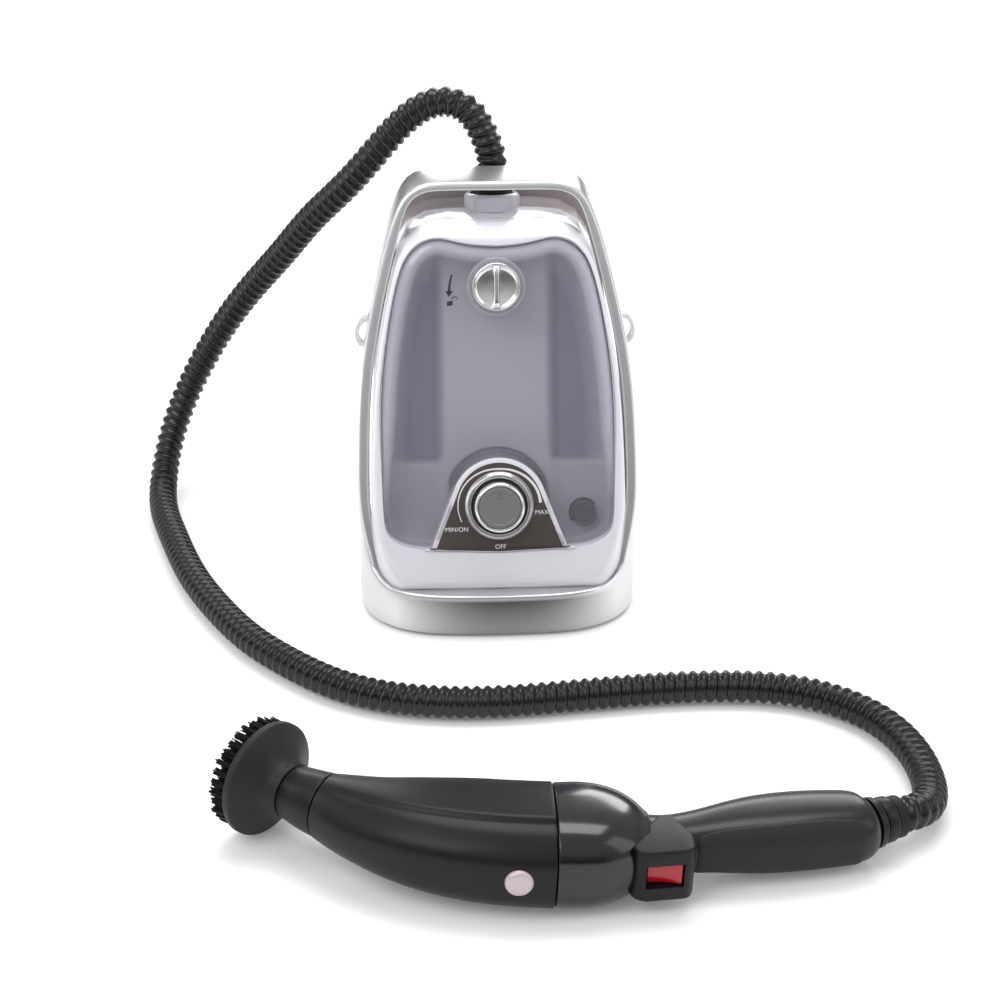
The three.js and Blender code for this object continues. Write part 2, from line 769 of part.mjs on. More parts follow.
function dial() {
  const within = leaningPanel(inset(tankOutline, 0.2), -10, 60);
  const rim = LABEL_RADIUS + PANEL_RIM;
  const rimHalf = LABEL_HALF_WIDTH + PANEL_RIM;
  const bore = solid(outOfFace(rod(DIAL_SHAFT_RADIUS + RUN, -60, 20), DIAL_S), leaning);
  const recess = leaningPanel(arch(LABEL_RADIUS + GAP, LABEL_HALF_WIDTH + GAP, 15), -5, GAP);
  const housing = cut(
    leaningPanel(arch(rim, rimHalf, 10), -TANK_PROUD, TANK_DEPTH - 4),
    leaningPanel(arch(rim - 2, rimHalf - 2, 4), 2.5, TANK_DEPTH),
    recess,
    bore,
  );
  addSolid(unit, "dial_housing", common(housing, within), pearl);
  const label = cut(
    leaningPanel(arch(LABEL_RADIUS, LABEL_HALF_WIDTH, 15), -LABEL_THICKNESS, 0),
    bore,
  );
  addSolid(
    unit,
    "dial_label",
    common(label, leaningPanel(inset(tankOutline, 0.8), -10, 60)),
    brown,
  );
  const onLabel = LABEL_THICKNESS + GAP;
  add(
    face,
    "dial_bezel",
    outOfFace(
      turned([
        [DIAL_KNOB_RADIUS + 1.2, onLabel],
        [DIAL_RING_RADIUS, onLabel],
        [DIAL_RING_RADIUS, onLabel + 1.5],
        [DIAL_RING_RADIUS - 2.5, onLabel + 4],
        [DIAL_KNOB_RADIUS + 2, onLabel + 4],
        [DIAL_KNOB_RADIUS + 1.2, onLabel + 3],
        [DIAL_KNOB_RADIUS + 1.2, onLabel],
      ]),
      DIAL_S,
    ),
    silver,
  );
  const top = onLabel + DIAL_KNOB_HEIGHT;
  add(
    face,
    "dial_knob",
    outOfFace(
      turned([
        [0, -12],
        [DIAL_SHAFT_RADIUS, -12],
        [DIAL_SHAFT_RADIUS, onLabel],
        [DIAL_KNOB_RADIUS - 1, onLabel],
        [DIAL_KNOB_RADIUS, onLabel + 2],
        [DIAL_KNOB_RADIUS - 0.8, top - 3],
        [DIAL_CAP_RADIUS + 1, top],
        [DIAL_CAP_RADIUS + 0.4, top],
        [DIAL_CAP_RADIUS + 0.4, top - 2],
        [0, top - 2],
      ]),
      DIAL_S,
    ),
    chromed,
  );
  const cap = solid(
    turned([
      [0, top - 2 + GAP],
      [DIAL_CAP_RADIUS, top - 2 + GAP],
      [DIAL_CAP_RADIUS, top - 0.4],
      [DIAL_CAP_RADIUS - 0.8, top],
      [0, top],
    ]),
  );
  const pointerShape = new THREE.Shape([
    new THREE.Vector2(-1.8, DIAL_CAP_RADIUS - 8),
    new THREE.Vector2(1.8, DIAL_CAP_RADIUS - 8),
    new THREE.Vector2(0, DIAL_CAP_RADIUS - 3.5),
  ]);
  const pointer = new THREE.ExtrudeGeometry(pointerShape, { depth: 1, bevelEnabled: false });
  pointer.rotateZ(Math.PI).translate(0, 0, top - 0.5);
  add(
    face,
    "dial_cap",
    outOfFace(geometryOf(join(cap, solid(pointer))), DIAL_S),
    slate,
  );
  const switchBody = cut(
    solid(turned([[0, -20], [DIAL_SWITCH_RADIUS, -20], [DIAL_SWITCH_RADIUS, -4], [0, -4]], SMALL_STEPS)),
    solid(rod(DIAL_SHAFT_RADIUS + RUN, -12.5, 0)),
  );
  add(face, "dial_switch", outOfFace(geometryOf(switchBody), DIAL_S), steelTone);
}

// ---------------------------------------------------------------- unit: inside
function inside() {
  const boiler = add(
    unit,
    "boiler",
    turned(
      [
        [PORT_RADIUS, BOILER_HIGH],
        [PORT_RADIUS, BOILER_HIGH - BOILER_WALL],
        [BOILER_RADIUS - BOILER_WALL, BOILER_HIGH - 8],
        [BOILER_RADIUS - BOILER_WALL, BOILER_LOW + BOILER_WALL],
        [0, BOILER_LOW + BOILER_WALL],
        [0, BOILER_LOW],
        [BOILER_RADIUS, BOILER_LOW],
        [BOILER_RADIUS, BOILER_HIGH - 6],
        [PORT_RADIUS + 6, BOILER_HIGH],
        [PORT_RADIUS, BOILER_HIGH],
      ],
      28,
    ),
    aluTone,
  );
  boiler.position.set(0, BOILER_Y, 0);
  const heater = add(
    unit,
    "heater_band",
    turned(ringProfile(BOILER_RADIUS + GAP, BOILER_RADIUS + 5, BOILER_LOW + 10, BOILER_LOW + 28), 28),
    steelTone,
  );
  heater.position.set(0, BOILER_Y, 0);
  const thermostat = add(unit, "thermostat", rod(7, BOILER_HIGH + GAP, BOILER_HIGH + 9), charcoal);
  thermostat.position.set(0, BOILER_Y + PORT_RADIUS + 14, 0);
  const steamTube = pipe(
    [
      [0, BOILER_Y, BOILER_HIGH + GAP],
      [0, BOILER_Y, BOILER_HIGH + 20],
      [0, BOILER_Y + 3, BOILER_HIGH + 70],
      [0, EXIT_Y - 4, EXIT_Z - 50],
      ...[-24, -15].map((h) => alongExit(h)),
    ],
    PORT_RADIUS - 0.5,
    14,
  );
  add(unit, "steam_tube", steamTube, brassTone);
  add(unit, "water_pump", block(42, 74, 70, 118, 14, 46), charcoal);
  const bracket = join(
    solid(block(40, 76, 66, 122, PLATE_BOTTOM + PLATE_THICKNESS + GAP, 9.5)),
    solid(block(40, 76, 120, 122, 9, 40)),
  );
  addSolid(unit, "pump_bracket", bracket, steelTone);
  add(unit, "control_board", block(-76, -74.4, 80, 140, 34, 92), boardGreen);
  const seatBack = new THREE.Vector3(OUTLET_X, TANK_DEPTH + BAY_WALL + 15, OUTLET_S).applyMatrix4(leaning);
  add(
    unit,
    "feed_tube",
    pipe(
      [
        [seatBack.x, seatBack.y + 1, seatBack.z],
        [seatBack.x + 3, seatBack.y + 8, seatBack.z - 4],
        [58, 90, 60],
        [58, 94, 53],
        [58, 94, 46 + 2 * GAP],
      ],
      3,
      10,
      8,
    ),
    clearHose,
  );
  add(
    unit,
    "boiler_inlet_tube",
    pipe(
      [
        [42 - 2 * GAP, 80, 34],
        [34, 80, 34.5],
        [14, 78, 56],
        [4, 84, 62],
        [4, 92.4, 62],
      ],
      2.5,
      8,
      8,
    ),
    clearHose,
  );
}

// A point on the axis of the hose's way out, that far above its foot.
function alongExit(height) {
  const p = new THREE.Vector3(0, 0, height).applyMatrix4(exitFrame());
  return [p.x, p.y, p.z];
}

function hoseOutlet() {
  const top = SKIRT_HEIGHT + CASING_TOP * Math.cos(leanAngle) + GAP;
  const collar = common(
    solid(
      turned([
        [CONNECTOR_RADIUS + GAP, -8],
        [COLLAR_RADIUS, -8],
        [COLLAR_RADIUS, COLLAR_HEIGHT - 2.5],
        [COLLAR_RADIUS - 2, COLLAR_HEIGHT - 0.4],
        [COLLAR_RADIUS - 3, COLLAR_HEIGHT],
        [CONNECTOR_RADIUS + GAP, COLLAR_HEIGHT],
        [CONNECTOR_RADIUS + GAP, -8],
      ]),
      exitFrame(),
    ),
    above(top),
  );
  const upstand = solid(block(-200, 200, PANEL_FRONT_Y - GAP, 400, 0, 400));
  addSolid(unit, "hose_collar", cut(collar, upstand), pearl);
  const body = solid(
    turned([
      [0, -14],
      [CONNECTOR_RADIUS, -14],
      [CONNECTOR_RADIUS, COLLAR_HEIGHT + 3],
      [CONNECTOR_NECK_RADIUS - 2, COLLAR_HEIGHT + 3],
      [CONNECTOR_NECK_RADIUS - 2, COLLAR_HEIGHT + 12],
      [0, COLLAR_HEIGHT + 12],
    ]),
    exitFrame(),
  );
  addSolid(unit, "hose_connector", body, charcoal);
  const ring = (low, high, radius) =>
    solid(turned(ringProfile(CONNECTOR_NECK_RADIUS - 2 + GAP, radius, low, high)), exitFrame());
  const nutLow = COLLAR_HEIGHT + 3 + GAP;
  addSolid(unit, "connector_nut", ring(nutLow, nutLow + 4, CONNECTOR_RADIUS - 1.7), steelTone);
  addSolid(unit, "hose_cuff", ring(nutLow + 4 + GAP, nutLow + 9, CONNECTOR_NECK_RADIUS), softBlack);
}

function lugsAndGland() {
  for (const [side, name] of [[-1, "left"], [1, "right"]]) {
    const half = LUG_HEIGHT / 2;
    const outer = new THREE.Shape();
    outer.moveTo(0, -half - 3);
    outer.lineTo(1.6, -half - 3);
    outer.lineTo(1.6, -half);
    outer.bezierCurveTo(LUG_REACH + 2.5, -half + 1, LUG_REACH + 2.5, half - 1, 1.6, half);
    outer.lineTo(1.6, half + 3);
    outer.lineTo(0, half + 3);
    const hole = new THREE.Path();
    hole.moveTo(1.6, -half + 3);
    hole.bezierCurveTo(LUG_REACH - 1, -half + 4, LUG_REACH - 1, half - 4, 1.6, half - 3);
    outer.holes.push(hole);
    const lug = new THREE.ExtrudeGeometry(outer, {
      depth: LUG_THICKNESS,
      bevelEnabled: false,
      curveSegments: 8,
    });
    lug.rotateX(Math.PI / 2).translate(0, LUG_THICKNESS / 2, 0);
    lug.rotateY(THREE.MathUtils.degToRad(-LUG_TILT_DEG));
    if (side < 0) lug.rotateZ(Math.PI);
    lug.translate(side * (SKIRT_HALF_WIDTH - LUG_INSET), LUG_Y, LUG_Z);
    const clear = leaningPanel(inset(loopOutline, -GAP), 0, 60, LOOP_RISE, LOOP_SET_BACK);
    addSolid(unit, `strap_lug_${name}`, cut(solid(lug), clear), smoked);
  }
  const gland = add(
    unit,
    "cable_gland",
    turned([
      [3.4, -12],
      [GLAND_RADIUS, -12],
      [GLAND_RADIUS, 0],
      [GLAND_RADIUS + 3, 0],
      [GLAND_RADIUS + 3, 2.5],
      [GLAND_RADIUS - 2, 14],
      [3.4, 14],
      [3.4, -12],
    ]).rotateX(-Math.PI / 2 - THREE.MathUtils.degToRad(BACK_LEAN_DEG) * -1),
    softBlack,
  );
  gland.position.set(GLAND_X, GLAND_Y, GLAND_Z);
}

// The rear face leans, so the gland stands further in the higher it is.
const GLAND_Y = SKIRT_DEPTH - CASING_STEP - GLAND_Z * Math.tan(THREE.MathUtils.degToRad(BACK_LEAN_DEG)) + 1;

// ---------------------------------------------------------------- hand piece
const hand = new THREE.Group();
hand.position.set(HAND_X, HAND_Y, HAND_Z);
hand.rotation.y = THREE.MathUtils.degToRad(HAND_PITCH_DEG);
root.add(hand);

const station = (x, y, degrees, height, width, square) => ({
  x,
  y,
  heading: THREE.MathUtils.degToRad(degrees),
  height,
  width,
  square,
});

const nozzleLine = [
  station(-120.7, 32.9, -32, 18.8, 18.6, 2),
  station(-111, 27, -29, 22, 20.2, 2.1),
  station(-98, 20.3, -25, 25.6, 21.9, 2.2),
  station(-81.4, 13.6, -19, 29.6, 23.8, 2.4),
  station(-64, 8.4, -14, 32.6, 25.2, 2.5),
  station(-45, 4.4, -9, 34.8, 26.2, 2.6),
  station(-22, 1.2, -4, 35.9, 26.8, 2.6),
  station(-GAP, 0, 0, 36, 27, 2.6),
];
const bodyLine = [
  station(GAP, 0, 0, 35.4, 26.6, 2.6),
  station(14, 0.3, 1, 36, 26.8, 2.6),
  station(26, 0.6, 1, 34.6, 26, 2.5),
  station(36, 0.6, 0, 30.5, 23.8, 2.4),
  station(44, 0.2, 0, 25, 20.6, 2.3),
  station(50, 0, 0, 19.6, 17, 2.2),
];
const handleLine = [
  station(50 + GAP, 0, 0, 17.2, 15, 2.2),
  station(62, 1.2, 8, 16.2, 14.2, 2.2),
  station(79, 4.8, 12, 16.8, 14.6, 2.3),
  station(96, 8.6, 12, 19.4, 16.2, 2.4),
  station(112.7, 12, 10, 21.8, 17.4, 2.4),
  station(134.9, 15.8, 8, 22.4, 17.8, 2.4),
  station(155, 18.6, 8, 21.4, 17.3, 2.4),
  station(168, 20.2, 12, 19.6, 16.4, 2.3),
  station(172, 21, 20, 16.8, 15.2, 2.1),
];

function shrunk(line, wall, from, to) {
  return line.slice(from, to).map((s) => ({ ...s, height: s.height - wall, width: s.width - wall }));
}

function nozzle() {
  const inner = shrunk(nozzleLine, HAND_WALL, 0, nozzleLine.length);
  inner[inner.length - 1] = { ...inner[inner.length - 1], x: 5 };
  const bore = solid(rod(7, -30, 30).rotateY(Math.PI / 2), neckFrame());
  const buttonHole = solid(
    rod(BUTTON_RADIUS + RUN, 0, 60).rotateX(Math.PI / 2).translate(BUTTON_X, 0, 0),
  );
  const shell = cut(solid(loft(nozzleLine)), solid(loft(inner)), bore, buttonHole);
  addSolid(hand, "nozzle_shell", shell, charcoal);
  const ring = cut(
    solid(
      loft([
        station(-139, 46.2, -40, 15.4, 15.4, 2),
        station(-130.5, 39.4, -36, 17.2, 17.2, 2),
        station(-121.1, 33.2, -32, 18.3, 18.2, 2),
      ]),
    ),
    solid(rod(7, -60, 30).rotateY(Math.PI / 2), neckFrame()),
  );
  addSolid(hand, "neck_ring", ring, charcoal);
  add(
    hand,
    "steam_pipe",
    pipe(
      [
        [-2, 0, 0],
        [-20, 0.5, 0],
        [-60, 7, 0],
        [-95, 19, 0],
        [-118, 30.5, 0],
      ],
      4,
      10,
      8,
      2.5,
    ),
    brassTone,
  );
  const button = add(
    hand,
    "release_button",
    turned(
      [
        [0, BUTTON_FACE - 9],
        [BUTTON_RADIUS + 1.6, BUTTON_FACE - 9],
        [BUTTON_RADIUS + 1.6, BUTTON_FACE - 7.4],
        [BUTTON_RADIUS, BUTTON_FACE - 7.4],
        [BUTTON_RADIUS, BUTTON_FACE - 1.6],
        [BUTTON_RADIUS - 2, BUTTON_FACE - 0.4],
        [BUTTON_RADIUS - 4.5, BUTTON_FACE],
        [0, BUTTON_FACE + 0.2],
      ],
      32,
    ).rotateX(Math.PI / 2),
    pinkPearl,
  );
  button.position.set(BUTTON_X, 0, 0);
  const turns = 3;
  const low = SPRING_FOOT;
  const high = BUTTON_FACE - 9 - BUTTON_TRAVEL - GAP;
  const helix = [];
  for (let i = 0; i <= turns * 8; i++) {
    const angle = (2 * Math.PI * i) / 8;
    const along = low + 0.5 + ((high - low - 1) * i) / (turns * 8);
    helix.push([4 * Math.cos(angle), 4 * Math.sin(angle), along]);
  }
  const spring = add(
    hand,
    "release_spring",
    pipe(helix, 0.5, turns * 8, 5).rotateX(Math.PI / 2),
    steelTone,
  );
  spring.position.set(BUTTON_X, 0, 0);
}

function brush() {
  const holder = new THREE.Group();
  holder.applyMatrix4(brushFrame());
  hand.add(holder);
  const alongX = (geometry) => geometry.rotateY(Math.PI / 2);
  add(
    holder,
    "brush_head",
    alongX(
      turned([
        [0, GAP],
        [15.8, GAP],
        [15.6, 4],
        [16.6, 7.5],
        [20, 11.5],
        [25, 15],
        [BRUSH_RADIUS - 1, 18.5],
        [BRUSH_RADIUS, 19.5],
        [BRUSH_RADIUS, 22.5],
        [BRUSH_RADIUS - 0.8, 23.3],
        [BRUSH_RADIUS - 3, 23.3],
        [BRUSH_RADIUS - 3, 20],
        [0, 20],
      ]),
    ),
    charcoal,
  );
  add(
    holder,
    "brush_bristles",
    alongX(
      turned([
        [0, 20 + GAP],
        [BRUSH_RADIUS - 4, 20 + GAP],
        [BRUSH_RADIUS - 4, 23],
        [BRUSH_RADIUS - 1.5, 23.3 + BRISTLE_LENGTH],
        [0, 23.3 + BRISTLE_LENGTH],
      ]),
    ),
    softBlack,
  );
}

function neckFrame() {
  return new THREE.Matrix4()
    .makeTranslation(-120.7, 32.9, 0)
    .multiply(new THREE.Matrix4().makeRotationZ(THREE.MathUtils.degToRad(-36)));
}

function brushFrame() {
  return new THREE.Matrix4()
    .makeTranslation(-139, 46.2, 0)
    .multiply(new THREE.Matrix4().makeRotationZ(THREE.MathUtils.degToRad(140)));
}

function triggerBody() {
  const inner = shrunk(bodyLine, HAND_WALL, 1, bodyLine.length - 1);
  const spigot = loft([station(-SPIGOT, 0, 0, 30, 21, 2.4), station(2, 0, 0, 30, 21, 2.4)]);
  const bore = loft([station(-20, 0, 0, 27, 18, 2.4), station(15, 0.3, 1, 27, 18, 2.4)]);
  const wire = rod(5, 30, 80).rotateY(Math.PI / 2);
  const pocket = solid(
    block(
      ROCKER_X - ROCKER_LENGTH / 2 - ROCKER_SWING,
      ROCKER_X + ROCKER_LENGTH / 2 + ROCKER_SWING,
      -45,
      ROCKER_Y + 3.5,
      -ROCKER_WIDTH / 2 - RUN,
      ROCKER_WIDTH / 2 + RUN,
    ),
  );
  const body = cut(
    join(solid(loft(bodyLine)), solid(spigot)),
    solid(loft(inner)),
    solid(bore),
    solid(wire),
    pocket,
  );
  addSolid(hand, "trigger_body", body, blackGloss);
  const valve = join(
    solid(block(18, 38, -9, 9, -8, 8)),
    solid(rod(3.4, 4, 20, 12).rotateY(Math.PI / 2)),
  );
  addSolid(hand, "steam_valve", valve, brassTone);

  const hoodShape = new THREE.Shape();
  hoodShape.moveTo(41, -17);
  hoodShape.lineTo(51, -4);
  hoodShape.quadraticCurveTo(58, 10, 63, 4);
  hoodShape.quadraticCurveTo(68, -6, 71.5, -13);
  hoodShape.lineTo(71.5, -22);
  hoodShape.quadraticCurveTo(71, -25, 68, -26);
  hoodShape.lineTo(48, -29);
  hoodShape.quadraticCurveTo(42, -28, 41, -24);
  const hoodSolid = new THREE.ExtrudeGeometry(hoodShape, {
    depth: 2 * HOOD_HALF - 4,
    bevelThickness: 2,
    bevelSize: 1.4,
    bevelSegments: 2,
    curveSegments: 6,
  }).translate(0, 0, -HOOD_HALF + 2);
  const hood = cut(
    solid(hoodSolid),
    solid(loft(handleLine, GAP)),
    solid(loft(bodyLine, GAP)),
    pocket,
  );
  const largest = hood.decompose().sort((a, b) => b.volume() - a.volume())[0];
  addSolid(hand, "switch_hood", largest, charcoal);

  const rockerShape = new THREE.Shape();
  const half = ROCKER_LENGTH / 2;
  rockerShape.moveTo(-half, -5.4);
  rockerShape.quadraticCurveTo(0, -3.6, half, -6.6);
  rockerShape.lineTo(half - 0.6, -1.5);
  rockerShape.quadraticCurveTo(0, 4.2, -half + 0.6, -1.5);
  const rocker = add(
    hand,
    "rocker_switch",
    new THREE.ExtrudeGeometry(rockerShape, {
      depth: ROCKER_WIDTH - 1,
      bevelThickness: 0.5,
      bevelSize: 0.4,
      bevelSegments: 1,
      curveSegments: 10,
    }).translate(0, 0, -ROCKER_WIDTH / 2 + 0.5),
    red,
  );
  rocker.position.set(ROCKER_X, ROCKER_Y, 0);
}

function handle() {
  const inner = shrunk(handleLine, HAND_WALL, 0, handleLine.length);
  inner[0] = { ...inner[0], x: 45 };
  const shell = cut(
    solid(loft(handleLine)),
    solid(loft(inner)),
    solid(rod(5.5, 100, 300).rotateY(Math.PI / 2).rotateZ(0.12)),
  );
  addSolid(hand, "handle_shell", shell, darkGrip);
  const sleeve = cut(
    solid(loft(handleLine.slice(3, -1), GRIP_SKIN + 0.3)),
    solid(loft(handleLine, 0.3)),
  );
  const under = new THREE.Shape([
    new THREE.Vector2(97, -60),
    new THREE.Vector2(166, -60),
    new THREE.Vector2(166, 26),
    new THREE.Vector2(158, 29),
    new THREE.Vector2(104, 16),
    new THREE.Vector2(97, 6),
  ]);
  const half = new THREE.ExtrudeGeometry(under, { depth: 80, bevelEnabled: false }).translate(0, 0, -40);
  addSolid(hand, "grip_insert", common(sleeve, solid(half)), darkGrip);

  const tail = new THREE.Group();
  tail.position.set(172, 21, 0);
  tail.rotation.z = THREE.MathUtils.degToRad(TAIL_HEADING_DEG);
  hand.add(tail);
  const alongX = (geometry) => geometry.rotateY(Math.PI / 2);
  add(tail, "end_collar", alongX(turned([
    [4, 2.2],
    [14.6, 2.2],
    [14.2, 6.5],
    [11, 7.5],
    [4, 7.5],
    [4, 2.2],
  ])), charcoal);
  add(tail, "swivel_ring", alongX(turned([
    [7, 8],
    [12.6, 8],
    [12.9, 9],
    [12.9, 14.5],
    [12.2, 15.5],
    [7, 15.5],
    [7, 8],
  ])), charcoal);
  add(tail, "hose_tail_cuff", alongX(turned(ringProfile(7, 11.8, 16, TAIL_END))), softBlack);
}

// ---------------------------------------------------------------- hose
// The hose's route, from the unit's connector over to the left, down to the floor, round in
// front of the unit and back into the hand piece.
const hoseRoute = [
  [0, 140.81, 269.1],
  [0, 142.3, 277.5],
  [-2.4, 143.6, 287.5],
  [-7.5, 144.8, 299],
  [-16, 147.2, 309.5],
  [-29.5, 150.2, 314],
  [-45, 154, 309],
  [-61, 158.5, 295],
  [-76, 164, 276.5],
  [-96, 175.5, 251],
  [-119.5, 194, 223],
  [-142, 215, 191],
  [-166, 234.5, 158.5],
  [-188, 246, 127],
  [-207, 249, 95.5],
  [-222.5, 244, 65.5],
  [-233, 231.5, 38],
  [-237, 210, 17.5],
  [-234, 178, 10.9],
  [-224.5, 139, 10.6],
  [-205.6, 76.7, 10.6],
  [-183, 25.5, 10.6],
  [-158.7, -15.8, 10.6],
  [-132.7, -46.6, 10.6],
  [-106.2, -70.8, 10.6],
  [-79, -86.2, 10.6],
  [-51.7, -94, 10.6],
  [-24.1, -97, 10.6],
  [3.5, -96.2, 10.6],
  [59.5, -89.5, 10.6],
  [115.7, -84.8, 10.6],
  [170.8, -90.5, 10.6],
  [199, -105, 10.6],
  [221.2, -129.3, 10.6],
  [233, -160, 10.6],
  [235.5, -188, 11.2],
  [232.5, -212, 13.2],
  [225.5, -228.5, 16.4],
  [216.4, -236.7, 18.5],
  [208.15, -240.36, 18.9],
];

function hose() {
  add(root, "steam_hose", pipe(hoseRoute, HOSE_RADIUS, 50, 8), softBlack);
}

handleFrame();
base();
casing();
tankAndBay();
lock();
dial();
inside();
hoseOutlet();
lugsAndGland();
nozzle();
brush();
triggerBody();
handle();
hose();

// The origin moves to the bottom centre of the box round everything but the hose.
root.updateMatrixWorld(true);
const extent = new THREE.Box3();
root.traverse((node) => {
  if (node.isMesh && node.name !== "steam_hose") extent.expandByObject(node, true);
});
const middle = extent.getCenter(new THREE.Vector3());
root.position.set(-middle.x, -middle.y, -extent.min.z);

export default root;
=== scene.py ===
"""Portable steam cleaner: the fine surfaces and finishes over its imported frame.

Everything is in metres in the frame's own axes: +Z up and -Y out of the unit's front.
Outlines and profiles below are in millimetres, because that is how the pieces are drawn.
"""

import json
import math

import bmesh  # noqa: E402
import bpy  # noqa: E402
import numpy as np  # noqa: E402
from mathutils import Matrix, Vector  # noqa: E402


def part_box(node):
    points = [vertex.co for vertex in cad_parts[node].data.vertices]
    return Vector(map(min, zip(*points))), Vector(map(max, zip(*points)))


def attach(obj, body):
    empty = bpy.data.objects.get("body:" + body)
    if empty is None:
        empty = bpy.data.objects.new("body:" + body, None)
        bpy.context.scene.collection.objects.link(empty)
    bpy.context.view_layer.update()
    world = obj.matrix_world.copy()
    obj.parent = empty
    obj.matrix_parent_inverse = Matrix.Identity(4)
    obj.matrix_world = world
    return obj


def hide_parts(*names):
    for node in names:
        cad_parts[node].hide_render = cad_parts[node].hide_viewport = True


bl_info = {
    "name": "Steam cleaner",
    "version": (1, 0, 0),
    "blender": (4, 5, 0),
    "location": "3D View > Sidebar > Steam cleaner",
    "description": "Builds a portable steam cleaner with its hose and hand piece",
    "category": "Add Mesh",
}

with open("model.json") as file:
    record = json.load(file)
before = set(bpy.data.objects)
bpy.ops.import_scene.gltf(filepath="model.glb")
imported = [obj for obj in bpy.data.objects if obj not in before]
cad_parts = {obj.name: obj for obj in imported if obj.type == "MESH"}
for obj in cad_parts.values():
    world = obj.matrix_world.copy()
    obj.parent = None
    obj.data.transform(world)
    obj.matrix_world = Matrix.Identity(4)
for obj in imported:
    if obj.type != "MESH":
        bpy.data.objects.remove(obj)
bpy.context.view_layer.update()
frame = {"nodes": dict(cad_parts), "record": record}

MM = 0.001
LEAN = math.radians(18)
FACE_Y = 10.0  # the leaning face's foot behind the skirt's front
FACE_Z = 30.0  # top of the skirt
BACK_SLANT = math.tan(math.radians(8))
HAND_PITCH = math.radians(2.5)
HAND_PLACE = (15.8, -270.5, 27.4)
CAMERA_AZIMUTH = math.radians(-2.5)
CAMERA_ELEVATION = math.radians(26)
CAMERA_PLACE = (-53.8, -1217.9, 694.0)

_low, _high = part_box("handle_frame")
UNIT_X = (_low.x + _high.x) / 2
UNIT_Y = _low.y


# ---------------------------------------------------------------- places
def unit(points):
    """Unit millimetres to the frame's metres, from the front foot of the unit's skirt."""
    points = np.asarray(points, float)
    return points * MM + np.array([UNIT_X, UNIT_Y, 0.0])


def leaning(x, depth, rise):
    """A point of the leaning face: across, behind the face, and up its slope."""
    x, depth, rise = np.broadcast_arrays(x, depth, rise)
    y = FACE_Y + depth * math.cos(LEAN) + rise * math.sin(LEAN)
    z = FACE_Z + rise * math.cos(LEAN) - depth * math.sin(LEAN)
    return unit(np.stack([x, y, z], -1))


def hand(points):
    """Hand piece millimetres (x to the tail, z across its thickness) to the frame's metres."""
    points = np.asarray(points, float)
    c, s = math.cos(HAND_PITCH), math.sin(HAND_PITCH)
    x = points[..., 0] * c + points[..., 2] * s
    z = -points[..., 0] * s + points[..., 2] * c
    return unit(np.stack([x, points[..., 1], z], -1) + np.array(HAND_PLACE))


# ---------------------------------------------------------------- curves
def spline(points, count, closed=False):
    """Natural cubic spline through points by chord length, sampled evenly count times."""
    p = np.asarray(points, float)
    if closed:
        p = np.concatenate([p[-3:], p, p[:4]])
    t = np.concatenate([[0], np.cumsum(np.linalg.norm(np.diff(p, axis=0), axis=1) ** 0.8)])
    h = np.diff(t)
    n = len(p)
    rows = np.zeros((n, n))
    right = np.zeros((n, p.shape[1]))
    rows[0, 0] = rows[-1, -1] = 1
    k = np.arange(1, n - 1)
    rows[k, k - 1] = h[:-1]
    rows[k, k] = 2 * (h[:-1] + h[1:])
    rows[k, k + 1] = h[1:]
    slope = np.diff(p, axis=0) / h[:, None]
    right[1:-1] = 6 * (slope[1:] - slope[:-1])
    m = np.linalg.solve(rows, right)
    first, last = (t[3], t[n - 4]) if closed else (t[0], t[-1])
    fine = np.linspace(first, last, 12 * count)
    i = np.clip(np.searchsorted(t, fine) - 1, 0, n - 2)
    a, b = (t[i + 1] - fine)[:, None], (fine - t[i])[:, None]
    w = h[i][:, None]
    q = (m[i] * a**3 + m[i + 1] * b**3) / (6 * w)
    q += (p[i] / w - m[i] * w / 6) * a + (p[i + 1] / w - m[i + 1] * w / 6) * b
    return resample(q, count, closed)


def resample(points, count, closed=False):
    """The same line with its points spread evenly along its length."""
    d = np.concatenate([[0], np.cumsum(np.linalg.norm(np.diff(points, axis=0), axis=1))])
    s = np.linspace(0, d[-1], count, endpoint=not closed)
    return np.stack([np.interp(s, d, points[:, k]) for k in range(points.shape[1])], -1)


def mirrored(half, count):
    """A closed outline from its right half, bottom centre to top centre, made whole by symmetry."""
    right = spline(half, count)
    left = right[-2:0:-1] * np.array([-1, 1])
    return np.concatenate([right, left])


def normals(outline, closed=True):
    """Unit normals to the left of travel: inwards on an outline that turns counterclockwise."""
    if closed:
        t = np.roll(outline, -1, axis=0) - np.roll(outline, 1, axis=0)
    else:
        t = np.gradient(outline, axis=0)
    t /= np.linalg.norm(t, axis=1, keepdims=True) + 1e-12
    return np.stack([-t[:, 1], t[:, 0]], -1)


def rounded(points, radii, steps=5, closed=False):
    """A profile with each corner replaced by a quadratic arc that starts radius before it."""
    p = np.asarray(points, float)
    r = np.broadcast_to(np.asarray(radii, float), (len(p),))
    before, after = np.roll(p, 1, axis=0) - p, np.roll(p, -1, axis=0) - p
    lb, la = np.linalg.norm(before, axis=1), np.linalg.norm(after, axis=1)
    start = p + before / lb[:, None] * np.minimum(r, lb * 0.49)[:, None]
    stop = p + after / la[:, None] * np.minimum(r, la * 0.49)[:, None]
    t = np.linspace(0, 1, steps)[None, :, None]
    arcs = start[:, None] * (1 - t) ** 2 + 2 * p[:, None] * t * (1 - t) + stop[:, None] * t**2
    if not closed:
        arcs[0], arcs[-1] = p[0], p[-1]
    return arcs.reshape(-1, p.shape[1])


def smooth_max(a, b, width):
    """The larger of a and b, with a fillet of that width where they meet."""
    d = np.asarray(a) - b
    return b + 0.5 * (d + np.sqrt(d * d + width * width))


